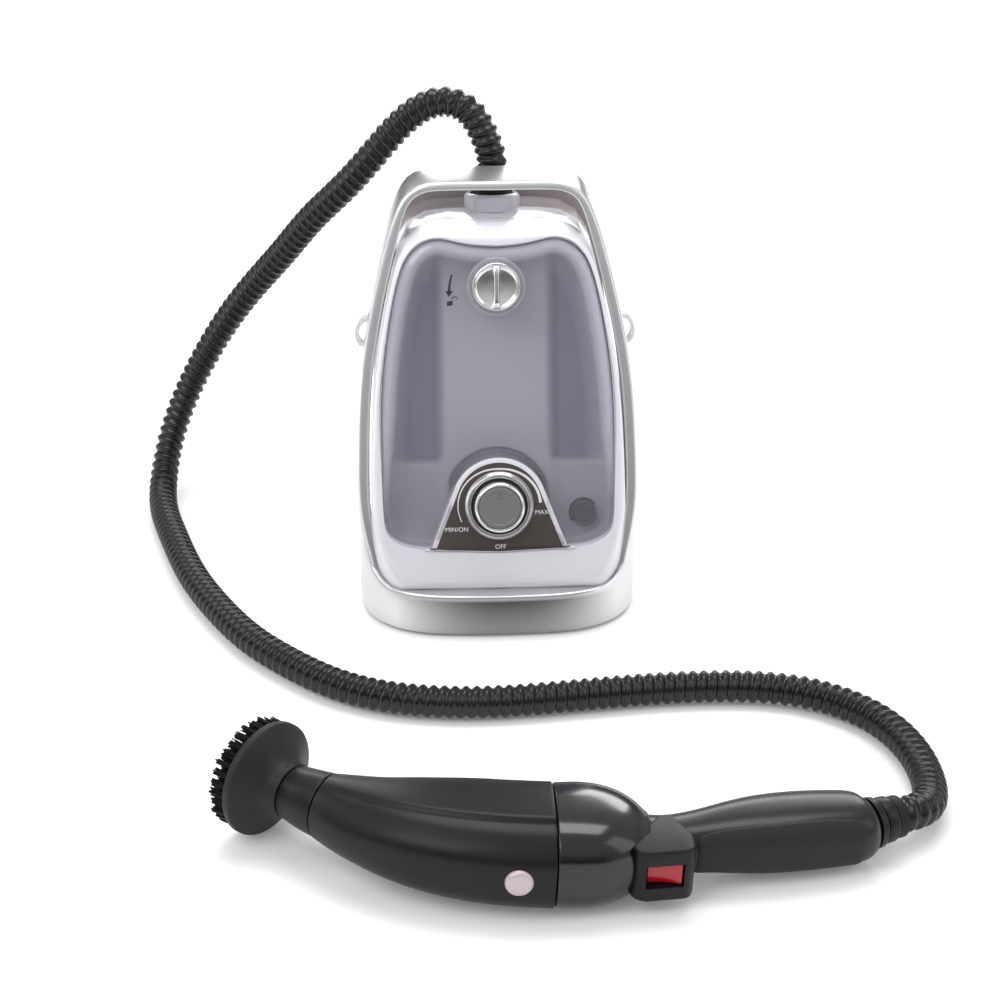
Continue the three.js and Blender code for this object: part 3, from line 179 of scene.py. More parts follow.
# ---------------------------------------------------------------- meshes
def surface(name, grids, material, body, replaces=(), sharp=38, shade=None, fill=False):
    """One piece from point grids. Each grid is (points, wrap along u, wrap along v): rows of quads
    between neighbouring points, joined end to end where it wraps. Doubles are merged, which closes
    seams and poles, and the normals are turned outwards. The shade, one number for each point of
    every grid in turn, is kept on the mesh for its finish to read."""
    verts, faces, start = [], [], 0
    for points, wrap_u, wrap_v in grids:
        nu, nv = points.shape[:2]
        index = start + np.arange(nu * nv).reshape(nu, nv)
        if wrap_u:
            index = np.concatenate([index, index[:1]])
        if wrap_v:
            index = np.concatenate([index, index[:, :1]], axis=1)
        quad = np.stack([index[:-1, :-1], index[1:, :-1], index[1:, 1:], index[:-1, 1:]], -1)
        verts.append(points.reshape(-1, 3))
        faces.append(quad.reshape(-1, 4))
        start += nu * nv
    verts, faces = np.concatenate(verts), np.concatenate(faces)
    mesh = bpy.data.meshes.new(name)
    mesh.vertices.add(len(verts))
    mesh.vertices.foreach_set("co", verts.astype(np.float32).ravel())
    mesh.loops.add(faces.size)
    mesh.loops.foreach_set("vertex_index", faces.astype(np.int32).ravel())
    mesh.polygons.add(len(faces))
    mesh.polygons.foreach_set("loop_start", np.arange(0, faces.size, 4, dtype=np.int32))
    mesh.polygons.foreach_set("loop_total", np.full(len(faces), 4, np.int32))
    mesh.update(calc_edges=True)
    # The shade attribute carries the skirt's painted reflection, the painted shade in the bay's channels
    # and the painted highlight bands along the tank's rim.
    if shade is not None:
        layer = mesh.attributes.new("shade", "FLOAT", "POINT")
        layer.data.foreach_set("value", np.concatenate([s.ravel() for s in shade]).astype(np.float32))
    return finished(name, mesh, material, body, replaces, sharp, fill)


def finished(name, mesh, material, body, replaces=(), sharp=38, fill=False):
    """Merges doubles, caps open rims if asked, turns the faces outwards, shades smooth up to the
    sharp angle and rides."""
    edit = bmesh.new()
    edit.from_mesh(mesh)
    bmesh.ops.remove_doubles(edit, verts=edit.verts, dist=4e-6)
    bmesh.ops.dissolve_degenerate(edit, edges=edit.edges, dist=2e-6)
    if fill:
        bmesh.ops.holes_fill(edit, edges=edit.edges, sides=0)
        caps = [face for face in edit.faces if len(face.verts) > 4]
        bmesh.ops.triangulate(edit, faces=caps, ngon_method="BEAUTY")
    bmesh.ops.recalc_face_normals(edit, faces=edit.faces)
    edit.to_mesh(mesh)
    edit.free()
    mesh.polygons.foreach_set("use_smooth", np.ones(len(mesh.polygons), bool))
    mesh.set_sharp_from_angle(angle=math.radians(sharp))
    mesh.materials.clear()
    mesh.materials.append(material)
    piece = bpy.data.objects.new(name, mesh)
    bpy.context.scene.collection.objects.link(piece)
    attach(piece, body)
    if replaces:
        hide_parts(*replaces)
    return piece


def softened(name, node, material, body, bevel=0.6, angle=28):
    """A merged copy of a CAD node with its flat triangles joined and its edges rounded."""
    mesh = frame["nodes"][node].data.copy()
    edit = bmesh.new()
    edit.from_mesh(mesh)
    bmesh.ops.remove_doubles(edit, verts=edit.verts, dist=5e-6)
    bmesh.ops.dissolve_limit(
        edit, verts=edit.verts, edges=edit.edges, angle_limit=math.radians(1.5)
    )
    edit.to_mesh(mesh)
    edit.free()
    piece = finished(name, mesh, material, body, (node,), 50)
    round_edges = piece.modifiers.new("edges", "BEVEL")
    round_edges.width = bevel * MM
    round_edges.segments = 3
    round_edges.limit_method = "ANGLE"
    round_edges.angle_limit = math.radians(angle)
    round_edges.use_clamp_overlap = True
    round_edges.harden_normals = False
    return piece


def ring(profile, count=72):
    """A profile of (radius, height) in millimetres turned round local Z, as a grid."""
    angle = np.linspace(0, 2 * np.pi, count, endpoint=False)
    radius, height = profile[:, 0], profile[:, 1]
    x = radius[None] * np.cos(angle)[:, None]
    y = radius[None] * np.sin(angle)[:, None]
    return np.stack([x, y, np.broadcast_to(height, x.shape)], -1)


def on_face(local, x, rise):
    """Local points whose Z points out of the leaning face, set at x and that far up the slope."""
    return leaning(x + local[..., 0], -local[..., 2], rise + local[..., 1])


def along(local, origin, direction):
    """Local points whose Z follows a direction from an origin, in unit millimetres."""
    z = np.array(direction, float)
    z /= np.linalg.norm(z)
    x = np.cross([0, 0, 1.0] if abs(z[2]) < 0.9 else [1.0, 0, 0], z)
    x /= np.linalg.norm(x)
    y = np.cross(z, x)
    return np.asarray(origin) + local @ np.stack([x, y, z])


def star(outline, centre, weights):
    """A flat grid from a centre out to an outline: centre + weight * (outline - centre)."""
    spokes = outline - np.asarray(centre)
    return np.asarray(centre) + spokes[:, None] * np.asarray(weights)[None, :, None]


# ---------------------------------------------------------------- outlines, in millimetres
CASING = mirrored(
    [
        (0, -1.5), (30, -1.5), (62, -1.5), (76, -1.2), (81.4, 2.5), (82.3, 10), (82.4, 30),
        (81.8, 78), (77.4, 141), (66.4, 198), (59, 217), (48, 226.5), (31, 229.4), (0, 230),
    ],
    150,
)
TANK = mirrored(
    [
        (0, 24.3), (44.4, 26.7), (62.4, 30.1), (70.8, 36.3), (73.8, 50.3), (74.4, 76.3),
        (74, 122.3), (70.2, 160), (62.2, 200), (56.4, 214), (49, 221.6), (42.4, 224.6),
        (36, 225.4), (22.4, 222.4), (0, 220),
    ],
    150,
)
LOOP_HALF = [
    (91, -5), (91.4, 30), (90.8, 78), (87, 141), (75.8, 200), (63, 243), (56, 254),
    (46, 259.6), (34, 261), (0, 261),
]
PLAN_HALF = [
    (0, 0), (36, 1.6), (54, 5.2), (68, 12), (79, 22), (87, 36), (90.4, 54), (91, 80),
    (90, 146), (87, 170), (79, 185), (65, 193), (41, 196), (0, 196),
]
LABEL_CENTRE = 55.2
LOCK_RISE = 195.5
CASING_WALL = 2.4
LABEL_RADIUS = 27.8
RIM = 3.0


def arch(radius, half, foot):
    """The dial label's arch: two straight sides that leave the foot and touch a round top."""
    reach = math.hypot(half, foot - LABEL_CENTRE)
    start = math.atan2(foot - LABEL_CENTRE, half) + math.acos(radius / reach)
    angle = np.linspace(start, math.pi - start, 60)
    top = np.stack([radius * np.cos(angle), LABEL_CENTRE + radius * np.sin(angle)], -1)
    return np.concatenate([[(half, foot)], top, [(-half, foot)]])


def bottom_of_tank(x, lift=0.0):
    """Height of the tank window's lower edge at x."""
    half = TANK[: len(TANK) // 2]
    low = half[half[:, 1] < 60]
    return np.interp(np.abs(x), low[:, 0], low[:, 1]) + lift


def plan_front(x):
    """How far back the casing's plan has curved at x, for the front half of its outline."""
    plan = spline(PLAN_HALF, 200)
    inside = plan + normals(plan, False) * 6
    front = inside[inside[:, 1] < 90]
    return np.interp(np.abs(x), front[:, 0], front[:, 1])


def crown(x, rise):
    """Depth behind the leaning face where the casing's plan takes over at its lower corners."""
    y = FACE_Y + rise * math.sin(LEAN)
    z = FACE_Z + rise * math.cos(LEAN)
    return (plan_front(x) - BACK_SLANT * z - y) / math.cos(LEAN)


# ---------------------------------------------------------------- shader groups
def group(name, inputs, outputs):
    """A new node group with its sockets, and its input and output nodes."""
    tree = bpy.data.node_groups.new(name, "ShaderNodeTree")
    for label, kind, value in inputs:
        socket = tree.interface.new_socket(label, in_out="INPUT", socket_type=kind)
        socket.default_value = value
    for label, kind in outputs:
        tree.interface.new_socket(label, in_out="OUTPUT", socket_type=kind)
    return tree, tree.nodes.new("NodeGroupInput"), tree.nodes.new("NodeGroupOutput")


def node(tree, kind, **settings):
    made = tree.nodes.new(kind)
    for key, value in settings.items():
        if key[0].isupper():
            made.inputs[key.replace("_", " ")].default_value = value
        else:
            setattr(made, key, value)
    return made


def build_groups():
    """Moulding variation shared by all finishes: slow colour drift, fine grain, uneven gloss."""
    number, colour = "NodeSocketFloat", "NodeSocketColor"
    tree, given, made = group(
        "moulded_variation",
        [("Color", colour, (0.5, 0.5, 0.5, 1)), ("Drift", number, 0.05), ("Drift Scale", number, 18.0),
         ("Roughness", number, 0.4), ("Roughness Spread", number, 0.08), ("Grain Scale", number, 900.0)],
        [("Color", colour), ("Roughness", number), ("Height", number)],
    )
    link = tree.links.new
    place = node(tree, "ShaderNodeTexCoord")
    slow = node(tree, "ShaderNodeTexNoise", Detail=3.0)
    link(place.outputs["Object"], slow.inputs["Vector"])
    link(given.outputs["Drift Scale"], slow.inputs["Scale"])
    swing = node(tree, "ShaderNodeMath", operation="SUBTRACT")
    link(slow.outputs["Fac"], swing.inputs[0])
    swing.inputs[1].default_value = 0.5
    amount = node(tree, "ShaderNodeMath", operation="MULTIPLY")
    link(swing.outputs[0], amount.inputs[0])
    link(given.outputs["Drift"], amount.inputs[1])
    level = node(tree, "ShaderNodeMath", operation="ADD")
    link(amount.outputs[0], level.inputs[0])
    level.inputs[1].default_value = 1.0
    tinted = node(tree, "ShaderNodeVectorMath", operation="SCALE")
    link(given.outputs["Color"], tinted.inputs[0])
    link(level.outputs[0], tinted.inputs["Scale"])
    link(tinted.outputs[0], made.inputs["Color"])
    fine = node(tree, "ShaderNodeTexNoise", Detail=2.0)
    link(place.outputs["Object"], fine.inputs["Vector"])
    link(given.outputs["Grain Scale"], fine.inputs["Scale"])
    link(fine.outputs["Fac"], made.inputs["Height"])
    smear = node(tree, "ShaderNodeTexNoise", Scale=55.0, Detail=4.0)
    link(place.outputs["Object"], smear.inputs["Vector"])
    offset = node(tree, "ShaderNodeMath", operation="SUBTRACT")
    link(smear.outputs["Fac"], offset.inputs[0])
    offset.inputs[1].default_value = 0.5
    spread = node(tree, "ShaderNodeMath", operation="MULTIPLY_ADD")
    link(offset.outputs[0], spread.inputs[0])
    link(given.outputs["Roughness Spread"], spread.inputs[1])
    link(given.outputs["Roughness"], spread.inputs[2])
    link(spread.outputs[0], made.inputs["Roughness"])


def finish(name, color, rough, metallic=0.0, coat=0.0, drift=0.06, grain=900.0, bump=0.05,
           deep=0.00004, spread=0.08, shaded=None, **sockets):
    """A moulded, painted or plated finish: the shared variation feeds colour, roughness and a bump.
    A shaded finish runs to a second colour where the piece's shade attribute is 1; that second colour is
    painted light, the frame's painted reflection and the liner's painted shade."""
    material = bpy.data.materials.new(f"{name}_finish")
    material.use_nodes = True
    tree = material.node_tree
    shader = tree.nodes["Principled BSDF"]
    shader.inputs["Metallic"].default_value = metallic
    shader.inputs["Coat Weight"].default_value = coat
    shader.inputs["Coat Roughness"].default_value = 0.06
    for key, value in sockets.items():
        shader.inputs[key.replace("_", " ")].default_value = value
    vary = tree.nodes.new("ShaderNodeGroup")
    vary.node_tree = bpy.data.node_groups["moulded_variation"]
    vary.inputs["Color"].default_value = (*color, 1)
    vary.inputs["Drift"].default_value = drift
    vary.inputs["Roughness"].default_value = rough
    vary.inputs["Roughness Spread"].default_value = spread
    vary.inputs["Grain Scale"].default_value = grain
    relief = node(tree, "ShaderNodeBump", Strength=bump, Distance=deep)
    if shaded:
        mask = node(tree, "ShaderNodeAttribute", attribute_name="shade")
        blend = node(tree, "ShaderNodeMix", data_type="RGBA")
        blend.inputs[7].default_value = (*shaded, 1)
        tree.links.new(mask.outputs["Fac"], blend.inputs[0])
        tree.links.new(vary.outputs["Color"], blend.inputs[6])
        tree.links.new(blend.outputs[2], shader.inputs["Base Color"])
    else:
        tree.links.new(vary.outputs["Color"], shader.inputs["Base Color"])
    tree.links.new(vary.outputs["Roughness"], shader.inputs["Roughness"])
    tree.links.new(vary.outputs["Height"], relief.inputs["Height"])
    tree.links.new(relief.outputs["Normal"], shader.inputs["Normal"])
    material.diffuse_color = (*color, 1)
    return material


def smoked_clear():
    """Clear moulding with a lavender tint: thin to look through, stronger at grazing angles, and more
    opaque where the piece's shade attribute asks, which paints whitish highlight bands along the tank's
    rim.
    """
    material = finish("smoked_clear", (0.72, 0.70, 0.80), 0.07, drift=0.06, bump=0.02, spread=0.03)
    tree = material.node_tree
    shader = tree.nodes["Principled BSDF"]
    shader.inputs["IOR"].default_value = 2.0
    facing = node(tree, "ShaderNodeLayerWeight", Blend=0.35)
    ramp = node(tree, "ShaderNodeMapRange")
    ramp.inputs["To Min"].default_value = 0.05
    ramp.inputs["To Max"].default_value = 0.55
    # Painted highlight: the shade attribute raises the opacity along the tank's rim, so the light
    # lavender shows as whitish bands there.
    thick = node(tree, "ShaderNodeAttribute", attribute_name="shade")
    cover = node(tree, "ShaderNodeMath", operation="MAXIMUM")
    tree.links.new(facing.outputs["Facing"], ramp.inputs["Value"])
    tree.links.new(ramp.outputs["Result"], cover.inputs[0])
    tree.links.new(thick.outputs["Fac"], cover.inputs[1])
    tree.links.new(cover.outputs[0], shader.inputs["Alpha"])
    return material


def build_finishes():
    """Every finish in turn: its name, colour, roughness, and what sets it apart."""
    look = bpy.context.scene.steam_cleaner
    for name, colour, rough, rest in (
        # The frame's nearly black second colour is a painted reflection, darkening the skirt's front
        # towards its middle.
        ("silver_frame", look.frame_colour, 0.29, dict(metallic=0.85, drift=0.04, grain=2600,
         bump=0.01, shaded=(0.012, 0.012, 0.013), spread=0.05)),
        ("pearl_shell", look.shell_colour, 0.22, dict(coat=0.5, drift=0.03, bump=0.02)),
        ("warm_grey", (0.30, 0.265, 0.275), 0.38, dict(drift=0.05, bump=0.08)),
        # The liner's violet second colour is painted shade in the bay's channels.
        ("lavender_liner", look.liner_colour, 0.30, dict(coat=0.3, drift=0.05, bump=0.03,
         shaded=(0.27, 0.25, 0.40))),
        ("chromed", (0.74, 0.74, 0.75), 0.16, dict(metallic=1.0, drift=0.03, bump=0.02)),
        ("dark_chrome", (0.44, 0.43, 0.435), 0.24, dict(metallic=0.9, drift=0.05, bump=0.04)),
        ("slate_cap", (0.165, 0.17, 0.172), 0.42, dict(drift=0.12, bump=0.1)),
        ("brown_label", (0.058, 0.046, 0.044), 0.36, dict(drift=0.15, bump=0.04)),
        ("scale_ink", (0.78, 0.77, 0.78), 0.5, dict(drift=0.05)),
        ("tank_ink", (0.03, 0.028, 0.035), 0.5, dict(drift=0.1)),
        ("black_gloss", (0.004, 0.004, 0.0045), 0.17, dict(coat=0.15, drift=0.2, bump=0.015,
         Specular_IOR_Level=0.5)),
        ("charcoal", (0.0055, 0.0055, 0.0062), 0.36, dict(drift=0.2, bump=0.12,
         Specular_IOR_Level=0.26)),
        ("brush_grey", (0.012, 0.0125, 0.0135), 0.5, dict(drift=0.25, bump=0.2, deep=0.00006,
         Specular_IOR_Level=0.3)),
        ("dark_grip", (0.0085, 0.0085, 0.0095), 0.28, dict(drift=0.15, bump=0.08,
         Specular_IOR_Level=0.34)),
        ("grip_rubber", (0.0175, 0.0175, 0.0185), 0.58, dict(drift=0.2, grain=560, bump=0.8,
         deep=0.0003, Specular_IOR_Level=0.25)),
        ("red_switch", (0.42, 0.003, 0.012), 0.16, dict(coat=0.25, drift=0.25, bump=0.02)),
        ("button_pink", (0.56, 0.46, 0.48), 0.34, dict(drift=0.22, bump=0.1, metallic=0.25)),
        ("hose_black", (0.0035, 0.0035, 0.0037), 0.27, dict(drift=0.3, grain=700, bump=0.1,
         Specular_IOR_Level=0.42)),
        ("bristle_black", (0.002, 0.002, 0.0022), 0.5, dict(drift=0.5, Specular_IOR_Level=0.15)),
        ("soft_black", (0.007, 0.007, 0.0075), 0.55, dict(drift=0.2, bump=0.3, deep=0.0001,
         Specular_IOR_Level=0.25)),
        ("strap_clear", (0.74, 0.73, 0.77), 0.2, dict(drift=0.05, Alpha=0.75)),
        ("brass_parts", (0.56, 0.40, 0.17), 0.32, dict(metallic=1, drift=0.1)),
        ("steel_parts", (0.46, 0.47, 0.48), 0.34, dict(metallic=1, drift=0.1)),
        ("boiler_alu", (0.52, 0.53, 0.54), 0.5, dict(metallic=1, drift=0.1, grain=300, bump=0.3,
         deep=0.0002)),
        ("board_green", (0.015, 0.09, 0.04), 0.45, dict(drift=0.3)),
        ("clear_tube", (0.55, 0.52, 0.44), 0.3, dict(drift=0.1)),
    ):
        finish(name, colour, rough, **rest)
    smoked_clear()


def paint(name):
    return bpy.data.materials[f"{name}_finish"]


# ---------------------------------------------------------------- settings
class SteamCleanerSettings(bpy.types.PropertyGroup):
    frame_colour: bpy.props.FloatVectorProperty(
        name="Frame", description="Colour of the carry frame and skirt", subtype="COLOR",
        default=(0.68, 0.68, 0.69), min=0, max=1)
    shell_colour: bpy.props.FloatVectorProperty(
        name="Shell", description="Colour of the pearl casing", subtype="COLOR",
        default=(0.76, 0.74, 0.80), min=0, max=1)
    liner_colour: bpy.props.FloatVectorProperty(
        name="Liner", description="Colour of the bay behind the clear tank", subtype="COLOR",
        default=(0.70, 0.68, 0.76), min=0, max=1)
    hose_pitch: bpy.props.FloatProperty(
        name="Rib pitch", description="Distance between the hose's ribs", default=0.0067,
        min=0.003, max=0.02, unit="LENGTH")
    hose_depth: bpy.props.FloatProperty(
        name="Rib depth", description="Depth of the grooves between the ribs", default=0.0021,
        min=0.0005, max=0.004, unit="LENGTH")
    tufts: bpy.props.IntProperty(
        name="Tufts", description="Bristle tufts round the brush's outer row", default=32,
        min=8, max=60)


# ---------------------------------------------------------------- stage
class STEAM_OT_stage(bpy.types.Operator):
    """Camera, pale floor and soft studio light"""

    bl_idname = "steam.stage"
    bl_label = "Stage"

    def execute(self, context):
        scene = context.scene
        back = np.array([math.sin(CAMERA_AZIMUTH) * math.cos(CAMERA_ELEVATION),
                         -math.cos(CAMERA_AZIMUTH) * math.cos(CAMERA_ELEVATION),
                         math.sin(CAMERA_ELEVATION)])
        camera = bpy.data.objects.new("camera", bpy.data.cameras.new("camera"))
        scene.collection.objects.link(camera)
        camera.data.lens = 77.544
        camera.data.sensor_width = 36
        camera.data.clip_end = 50
        right = Vector((math.cos(CAMERA_AZIMUTH), math.sin(CAMERA_AZIMUTH), 0))
        z_axis = Vector(back)
        turn = Matrix((right, z_axis.cross(right), z_axis)).transposed().to_4x4()
        camera.matrix_world = Matrix.Translation(Vector(unit(CAMERA_PLACE))) @ turn
        scene.camera = camera

        side = np.linspace(-6, 6, 3)
        x, y = np.meshgrid(side, side, indexing="ij")
        mesh = bpy.data.meshes.new("floor")
        verts = np.stack([x, y, np.zeros_like(x)], -1).reshape(-1, 3)
        faces = [(i * 3 + j, i * 3 + 3 + j, i * 3 + 4 + j, i * 3 + 1 + j)
                 for i in range(2) for j in range(2)]
        mesh.from_pydata(verts.tolist(), [], faces)
        floor = bpy.data.objects.new("floor", mesh)
        scene.collection.objects.link(floor)
        mesh.materials.append(finish("floor_white", (0.90, 0.90, 0.90), 0.9, drift=0.0, bump=0.0,
                                     Specular_IOR_Level=0.0, Emission_Color=(1, 1, 1, 1),
                                     Emission_Strength=0.1))

        world = bpy.data.worlds.new("studio")
        scene.world = world
        world.use_nodes = True
        self.sky(world.node_tree)
        scene.view_settings.view_transform = "Standard"
        self.lamp("key", (-1.1, -1.2, 1.9), (1.3, 1.3), 15)
        self.lamp("fill", (1.7, -0.7, 1.2), (0.9, 1.6), 6)
        self.lamp("top", (0.1, 0.5, 2.2), (1.8, 0.9), 24)
        self.lamp("left_strip", (-1.5, 0.1, 0.6), (0.3, 1.5), 4)
        self.lamp("back", (0.2, 2.3, 1.15), (2.4, 0.5), 26)
        return {"FINISHED"}

    def sky(self, tree):
        """A white overhead that darkens towards the horizon, and stays bright at the sides."""
        way = node(tree, "ShaderNodeTexCoord")
        split = node(tree, "ShaderNodeSeparateXYZ")
        tree.links.new(way.outputs["Generated"], split.inputs[0])
        height = node(tree, "ShaderNodeMapRange", interpolation_type="SMOOTHSTEP")
        for key, value in (("From Min", 0.02), ("From Max", 0.62), ("To Min", 0.12), ("To Max", 0.76)):
            height.inputs[key].default_value = value
        tree.links.new(split.outputs["Z"], height.inputs["Value"])
        across = node(tree, "ShaderNodeMath", operation="ABSOLUTE")
        tree.links.new(split.outputs["X"], across.inputs[0])
        flank = node(tree, "ShaderNodeMapRange", interpolation_type="SMOOTHSTEP")
        for key, value in (("From Min", 0.25), ("From Max", 0.85), ("To Min", 0.0), ("To Max", 0.6)):
            flank.inputs[key].default_value = value
        tree.links.new(across.outputs[0], flank.inputs["Value"])
        level = node(tree, "ShaderNodeMath", operation="MAXIMUM")
        tree.links.new(height.outputs["Result"], level.inputs[0])
        tree.links.new(flank.outputs["Result"], level.inputs[1])
        background = tree.nodes["Background"]
        background.inputs["Color"].default_value = (0.97, 0.97, 0.98, 1)
        tree.links.new(level.outputs[0], background.inputs["Strength"])

    def lamp(self, name, place, size, watts):
        light = bpy.data.lights.new(name, "AREA")
        light.shape = "RECTANGLE"
        light.size, light.size_y = size
        light.energy = watts
        lamp = bpy.data.objects.new(name, light)
        bpy.context.scene.collection.objects.link(lamp)
        aim = Vector((0.0, 0.0, 0.1)) - Vector(place)
        lamp.location = place
        lamp.rotation_euler = aim.to_track_quat("-Z", "Y").to_euler()


# ---------------------------------------------------------------- hose
HOSE_ROUTE = [
    (0, 0.14081, 0.2691), (0, 0.1423, 0.2775), (-0.0024, 0.1436, 0.2875),
    (-0.0075, 0.1448, 0.299), (-0.016, 0.1472, 0.3095), (-0.0295, 0.1502, 0.314),
    (-0.045, 0.154, 0.309), (-0.061, 0.1585, 0.295), (-0.076, 0.164, 0.2765),
    (-0.096, 0.1755, 0.251), (-0.1195, 0.194, 0.223), (-0.142, 0.215, 0.191),
    (-0.166, 0.2345, 0.1585), (-0.188, 0.246, 0.127), (-0.207, 0.249, 0.0955),
    (-0.2225, 0.244, 0.0655), (-0.233, 0.2315, 0.038), (-0.237, 0.21, 0.0175),
    (-0.234, 0.178, 0.0109), (-0.2245, 0.139, 0.0106), (-0.2056, 0.0767, 0.0106),
    (-0.183, 0.0255, 0.0106), (-0.1587, -0.0158, 0.0106), (-0.1327, -0.0466, 0.0106),
    (-0.1062, -0.0708, 0.0106), (-0.079, -0.0862, 0.0106), (-0.0517, -0.094, 0.0106),
    (-0.0241, -0.097, 0.0106), (0.0035, -0.0962, 0.0106), (0.0595, -0.0895, 0.0106),
    (0.1157, -0.0848, 0.0106), (0.1708, -0.0905, 0.0106), (0.199, -0.105, 0.0106),
    (0.2212, -0.1293, 0.0106), (0.233, -0.16, 0.0106), (0.2355, -0.188, 0.0112),
    (0.2325, -0.212, 0.0132), (0.2255, -0.2285, 0.0164), (0.2164, -0.2367, 0.0185),
    (0.20815, -0.24036, 0.0189),
]
HOSE_RADIUS = 0.0102


class STEAM_OT_hose(bpy.types.Operator):
    """The ribbed steam hose along its free route"""

    bl_idname = "steam.hose"
    bl_label = "Hose"

    def execute(self, context):
        look = context.scene.steam_cleaner
        line = unit(spline(np.array(HOSE_ROUTE) * 1000, 1700))
        step = np.linalg.norm(np.diff(line, axis=0), axis=1)
        length = float(step.sum())
        tangent = np.gradient(line, axis=0)
        tangent /= np.linalg.norm(tangent, axis=1, keepdims=True)
        side = self.carried(tangent)
        other = np.cross(tangent, side)
        angle = np.linspace(0, 2 * np.pi, 28, endpoint=False)
        along_line = np.linspace(0, length, len(line))
        phase = 2 * np.pi * along_line[:, None] / look.hose_pitch + angle[None]
        wave = 0.5 + 0.5 * np.cos(phase)
        radius = HOSE_RADIUS - 0.0001 - look.hose_depth * (1 - wave**0.75)
        plain = np.minimum(along_line, length - along_line)[:, None]
        radius = np.where(plain < 0.0015, np.minimum(radius, HOSE_RADIUS - 0.0012), radius)
        points = line[:, None] + radius[..., None] * (
            np.cos(angle)[None, :, None] * side[:, None] + np.sin(angle)[None, :, None] * other[:, None])
        ends = [np.repeat(line[k][None, None], len(angle), axis=1) for k in (0, -1)]
        points = np.concatenate([ends[0], points, ends[1]])
        piece = surface("steam_hose_ribbed", [(points, False, True)], paint("hose_black"), "main",
                        ("steam_hose",), sharp=70)
        return {"FINISHED"}

    def carried(self, tangent):
        """A side direction carried along the line without turning round it: each step takes out the
        part along the new tangent."""
        side = np.zeros_like(tangent)
        current = np.array([1.0, 0, 0])
        for i, t in enumerate(tangent):
            current = current - t * (current @ t)
            current /= np.linalg.norm(current)
            side[i] = current
        return side


# ---------------------------------------------------------------- unit
class STEAM_OT_frame(bpy.types.Operator):
    """The silver skirt and the carry loop that grows out of it"""

    bl_idname = "steam.frame"
    bl_label = "Carry frame"

    def execute(self, context):
        plan = mirrored(PLAN_HALF, 160)
        inward = normals(plan)
        section = rounded(
            [(3, 6, 0), (3, 2, 0), (0, 2, 0), (0, 9, 0), (0, 17, 0), (0, 24, 0), (0, 30, 1),
             (3.1, 30, 1), (3.2, 29.6, 0), (13, 29.6, 0), (13, 27, 0), (3, 27, 0)],
            [0.4, 0.6, 1.6, 2, 3, 2, 1.5, 0.8, 0.2, 0.8, 0.5, 0.5], 7, closed=True)
        bulge = 0.5 * np.sin(np.clip((section[:, 1] - 2) / 28, 0, 1) * np.pi) * (section[:, 0] < 2)
        inset = section[:, 0] - bulge
        flat = plan[:, None] + inward[:, None] * inset[None, :, None]
        heights = section[None, :, 1] + self.flare(plan)[:, None] * section[None, :, 2]
        skirt = unit(np.concatenate([flat, heights[..., None]], -1))
        # Painted reflection: the skirt's front is darkened towards its middle in the base colour,
        # standing in for the dark reflection the studio throws on it.
        across = np.clip(np.abs(flat[..., 0] - 4) / 72, 0, 1)
        front = (flat[..., 1] < 20) * np.clip((28.6 - heights) / 2, 0, 1) * (section[None, :, 0] < 1.5)
        skirt_painted_reflection = (1 - across**2.4) * front * (0.62 + 0.3 * np.clip(heights / 28, 0, 1))

        right = spline(LOOP_HALF, 170)
        line = np.concatenate([right, right[-2::-1] * np.array([-1, 1])])
        inward = normals(line, False)
        blend = np.clip((line[:, 1] - 211) / 50, 0, 1)
        thick = 7.5 - 2.0 * blend * blend * (3 - 2 * blend)
        band = rounded([(0, 14), (7, 14), (7, 38), (0, 38)], [2.6, 2.2, 2.2, 2.6], 8, closed=True)
        share, depth = band[:, 0] / 7, band[:, 1]
        flat = line[:, None] + inward[:, None] * (share[None] * thick[:, None])[..., None]
        rise = flat[..., 1] + 0.488 * (depth[None] - 14)
        loop = self.footed(leaning(flat[..., 0], depth[None], rise),
                           leaning(line[:, :1], depth, line[:, 1:]))
        surface("carry_frame", [(skirt, True, True), (loop, False, True)], paint("silver_frame"),
                "main", ("handle_frame",), 60,
                (skirt_painted_reflection, np.zeros(loop.shape[:2])))
        softened("base_tray", "base_plate", paint("charcoal"), "main", 0.4)
        for i in range(1, 5):
            softened(f"foot_{i}", f"rubber_foot_{i}", paint("soft_black"), "main", 0.5)
            softened(f"screw_{i}", f"base_screw_{i}", paint("steel_parts"), "main", 0.3)
        return {"FINISHED"}

    def footed(self, loop, edge):
        """Draws the legs in at their feet, by as much as their outer side stands out past the skirt's
        plan, fading out above it."""
        plan = unit(np.concatenate([spline(PLAN_HALF, 300), np.zeros((300, 1))], 1))
        flank = plan[(plan[:, 1] < UNIT_Y + 0.12)]
        limit = np.interp(loop[..., 1], flank[:, 1], flank[:, 0] - UNIT_X)
        over = np.maximum(np.abs(edge[..., 0] - UNIT_X) - limit, 0)
        fade = np.clip((loop[..., 2] - 0.038) / 0.06, 0, 1)
        over = over * (1 - fade * fade * (3 - 2 * fade))
        drawn = loop.copy()
        drawn[..., 0] -= np.sign(loop[..., 0] - UNIT_X) * over
        return drawn

    def flare(self, plan):
        """How far the skirt's rim rises into the legs: a quarter ellipse towards the leg in front of
        it, and a falling power curve behind it."""
        x, y = np.abs(plan[:, 0]), plan[:, 1]
        ahead = 27 * (1 - np.sqrt(1 - np.clip((x - 68) / 20, 0, 0.999) ** 2))
        behind = 27 * np.clip(1 - (y - 57) / 60, 0, 1) ** 2.4
        return np.where(y < 57, ahead, behind)


